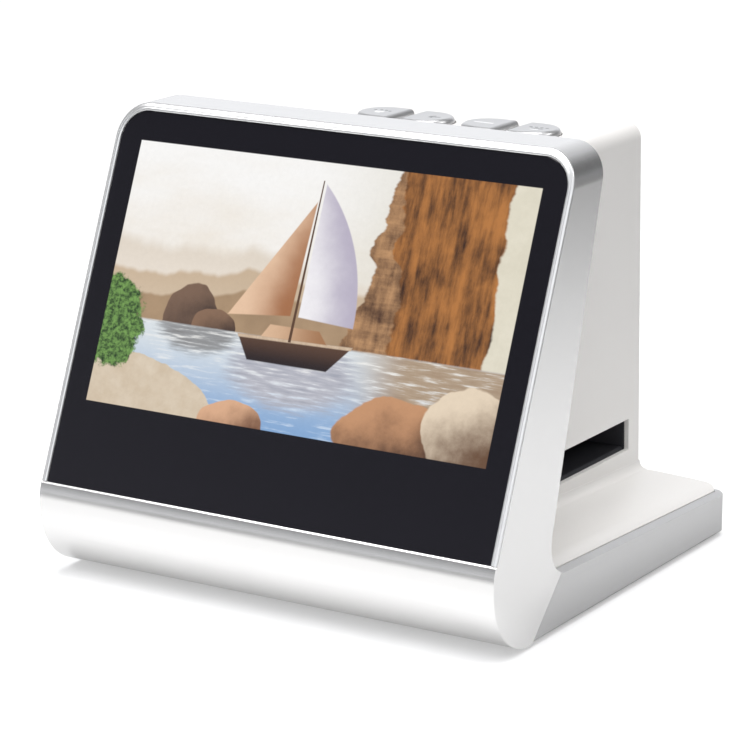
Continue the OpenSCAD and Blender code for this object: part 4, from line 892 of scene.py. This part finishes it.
# Each separate solid of a CAD node, as lists of points (in millimetres) and faces
def solidsOf(node):
    work = cadMesh(node)
    left, solids = set(work.verts), []
    while left:
        group, queue = set(), [next(iter(left))]
        while queue:
            vert = queue.pop()
            if vert in group:
                continue
            group.add(vert)
            queue.extend(edge.other_vert(vert) for edge in vert.link_edges)
        left -= group
        order = sorted(group, key=lambda vert: vert.index)
        index = {vert: k for k, vert in enumerate(order)}
        faces = [[index[vert] for vert in face.verts] for face in work.faces if face.verts[0] in group]
        solids.append(([tuple(value * 1000 for value in vert.co) for vert in order], faces))
    work.free()
    return sorted(solids, key=lambda solid: [round(value, 2) for value in min(solid[0])])


# Every screw that stands upright, with its thread, at the place of its CAD solid
def makeScrews():
    shankReach = 1.6  # points further from the middle than this are the head's
    tree = screwTree()
    for node in ("base_screws", "channel_screws", "lamp_screws", "optics_screws", "sensor_screws",
                 "key_board_screws", "port_screws"):
        groups = {}
        for points, _ in solidsOf(node):
            low, high = min(p[2] for p in points), max(p[2] for p in points)
            x = (min(p[0] for p in points) + max(p[0] for p in points)) / 2
            y = (min(p[1] for p in points) + max(p[1] for p in points)) / 2
            heads = [p[2] for p in points if math.hypot(p[0] - x, p[1] - y) > shankReach]
            down = min(heads) < (low + high) / 2
            headHeight = max(heads) - min(heads)
            seat = (x, y, max(heads) if down else min(heads))
            length = round(high - low - headHeight, 2)
            groups.setdefault((length, round(headHeight, 2), down), []).append(seat)
        work = bmesh.new()
        for (length, headHeight, down), seats in groups.items():
            part = growOn(node, tree, seats, finishes["screw_steel"], shankLength=length * mm,
                          headHeight=headHeight * mm, turn=0.0 if down else math.pi)
            work.from_mesh(part)
        mesh = bpy.data.meshes.new(node)
        work.to_mesh(mesh)
        work.free()
        words = node.split("_")
        name = words[0] + "".join(word.capitalize() for word in words[1:])
        addPiece(name, evenNormals(mesh, 30), finishes["screw_steel"], stands=[node])


makeScrews()


def makeFeet():
    foot = {
        "x": 50.0,
        "ys": (-30.1, 50.1),
        "radius": 5.0,
        "height": 1.4,
        "ringRadius": 0.2,
        "taper": 0.93,
        "rings": (0.25, 0.45, 0.65, 0.85),  # parts of the radius
        "steps": 48,
    }
    tree, size = startTree("feet", {key: foot[key] * mm for key in ("radius", "height", "ringRadius")})
    slim = calc(tree, "MULTIPLY", size["radius"], foot["taper"])
    depth = calc(tree, "SUBTRACT", size["height"], size["ringRadius"])
    pad = addNode(tree, "GeometryNodeMeshCone", {
        "Vertices": foot["steps"], "Radius Bottom": slim, "Radius Top": size["radius"], "Depth": depth})
    parts = [moved(tree, pad.outputs[0], size["ringRadius"])]
    tube = addNode(tree, "GeometryNodeCurvePrimitiveCircle", {
        "Resolution": 8, "Radius": size["ringRadius"]})
    for share in foot["rings"]:
        line = addNode(tree, "GeometryNodeCurvePrimitiveCircle", {
            "Resolution": foot["steps"], "Radius": calc(tree, "MULTIPLY", size["radius"], share)})
        rib = addNode(tree, "GeometryNodeCurveToMesh", {0: line.outputs[0], 1: tube.outputs[0]})
        parts.append(moved(tree, rib.outputs[0], size["ringRadius"]))
    repeatOnPoints(tree, size, joined(tree, *parts))
    places = [(side * foot["x"], y, 0.0) for side in (-1, 1) for y in foot["ys"]]
    mesh = growOn("ribbedFeet", tree, places, finishes["foot_rubber"])
    addPiece("ribbedFeet", evenNormals(mesh, 30), finishes["foot_rubber"], stands=["rubber_feet"])


makeFeet()


# Sockets: the shells and tongues from the CAD, with rows of gold contacts
def makeSockets():
    thick, widestTongue = 0.08, 8.0
    rows = {  # node: name, middle, contacts, pitch, width, length, front end, heights of the rows
        "hdmi_socket": ("hdmi", 7.0, 10, 0.66, 0.34, 5.0, 57.1, None),
        "usb_socket": ("usb", 24.0, 12, 0.50, 0.26, 5.0, 57.2, None),
        "card_socket": ("card", -16.0, 9, 2.5, 0.9, 6.0, 52.0, (80.14,)),
    }
    for node, (name, middle, count, pitch, width, length, front, heights) in rows.items():
        solids = sorted(solidsOf(node), key=lambda solid: max(p[0] for p in solid[0]))
        for points, faces in solids:
            across = max(p[0] for p in points) - min(p[0] for p in points)
            isTongue = len(solids) > 1 and across < widestTongue
            label = name + ("Tongue" if isTongue else "Shell")
            mesh = bpy.data.meshes.new(label)
            mesh.from_pydata([[value * mm for value in p] for p in points], [], faces)
            finish = finishes["black_plastic"] if isTongue else finishes["socket_steel"]
            addPiece(label, evenNormals(mesh, 30), finish, stands=[node])
            if isTongue:
                heights = (min(p[2] for p in points), max(p[2] for p in points))
        tree, size = startTree(name + "Contacts", {
            "width": width * mm, "length": length * mm, "thick": thick * mm})
        extent = addNode(tree, "ShaderNodeCombineXYZ", {
            0: size["width"], 1: size["length"], 2: size["thick"]})
        contact = addNode(tree, "GeometryNodeMeshCube", {"Size": extent.outputs[0]})
        repeatOnPoints(tree, size, contact.outputs[0])
        places = [(middle + (k - (count - 1) / 2) * pitch, front - length / 2, height)
                  for height in heights for k in range(count)]
        mesh = growOn(name + "Contacts", tree, places, contactGold)
        addPiece(name + "Contacts", mesh, contactGold)


makeSockets()
print("stage: screws, feet and sockets")
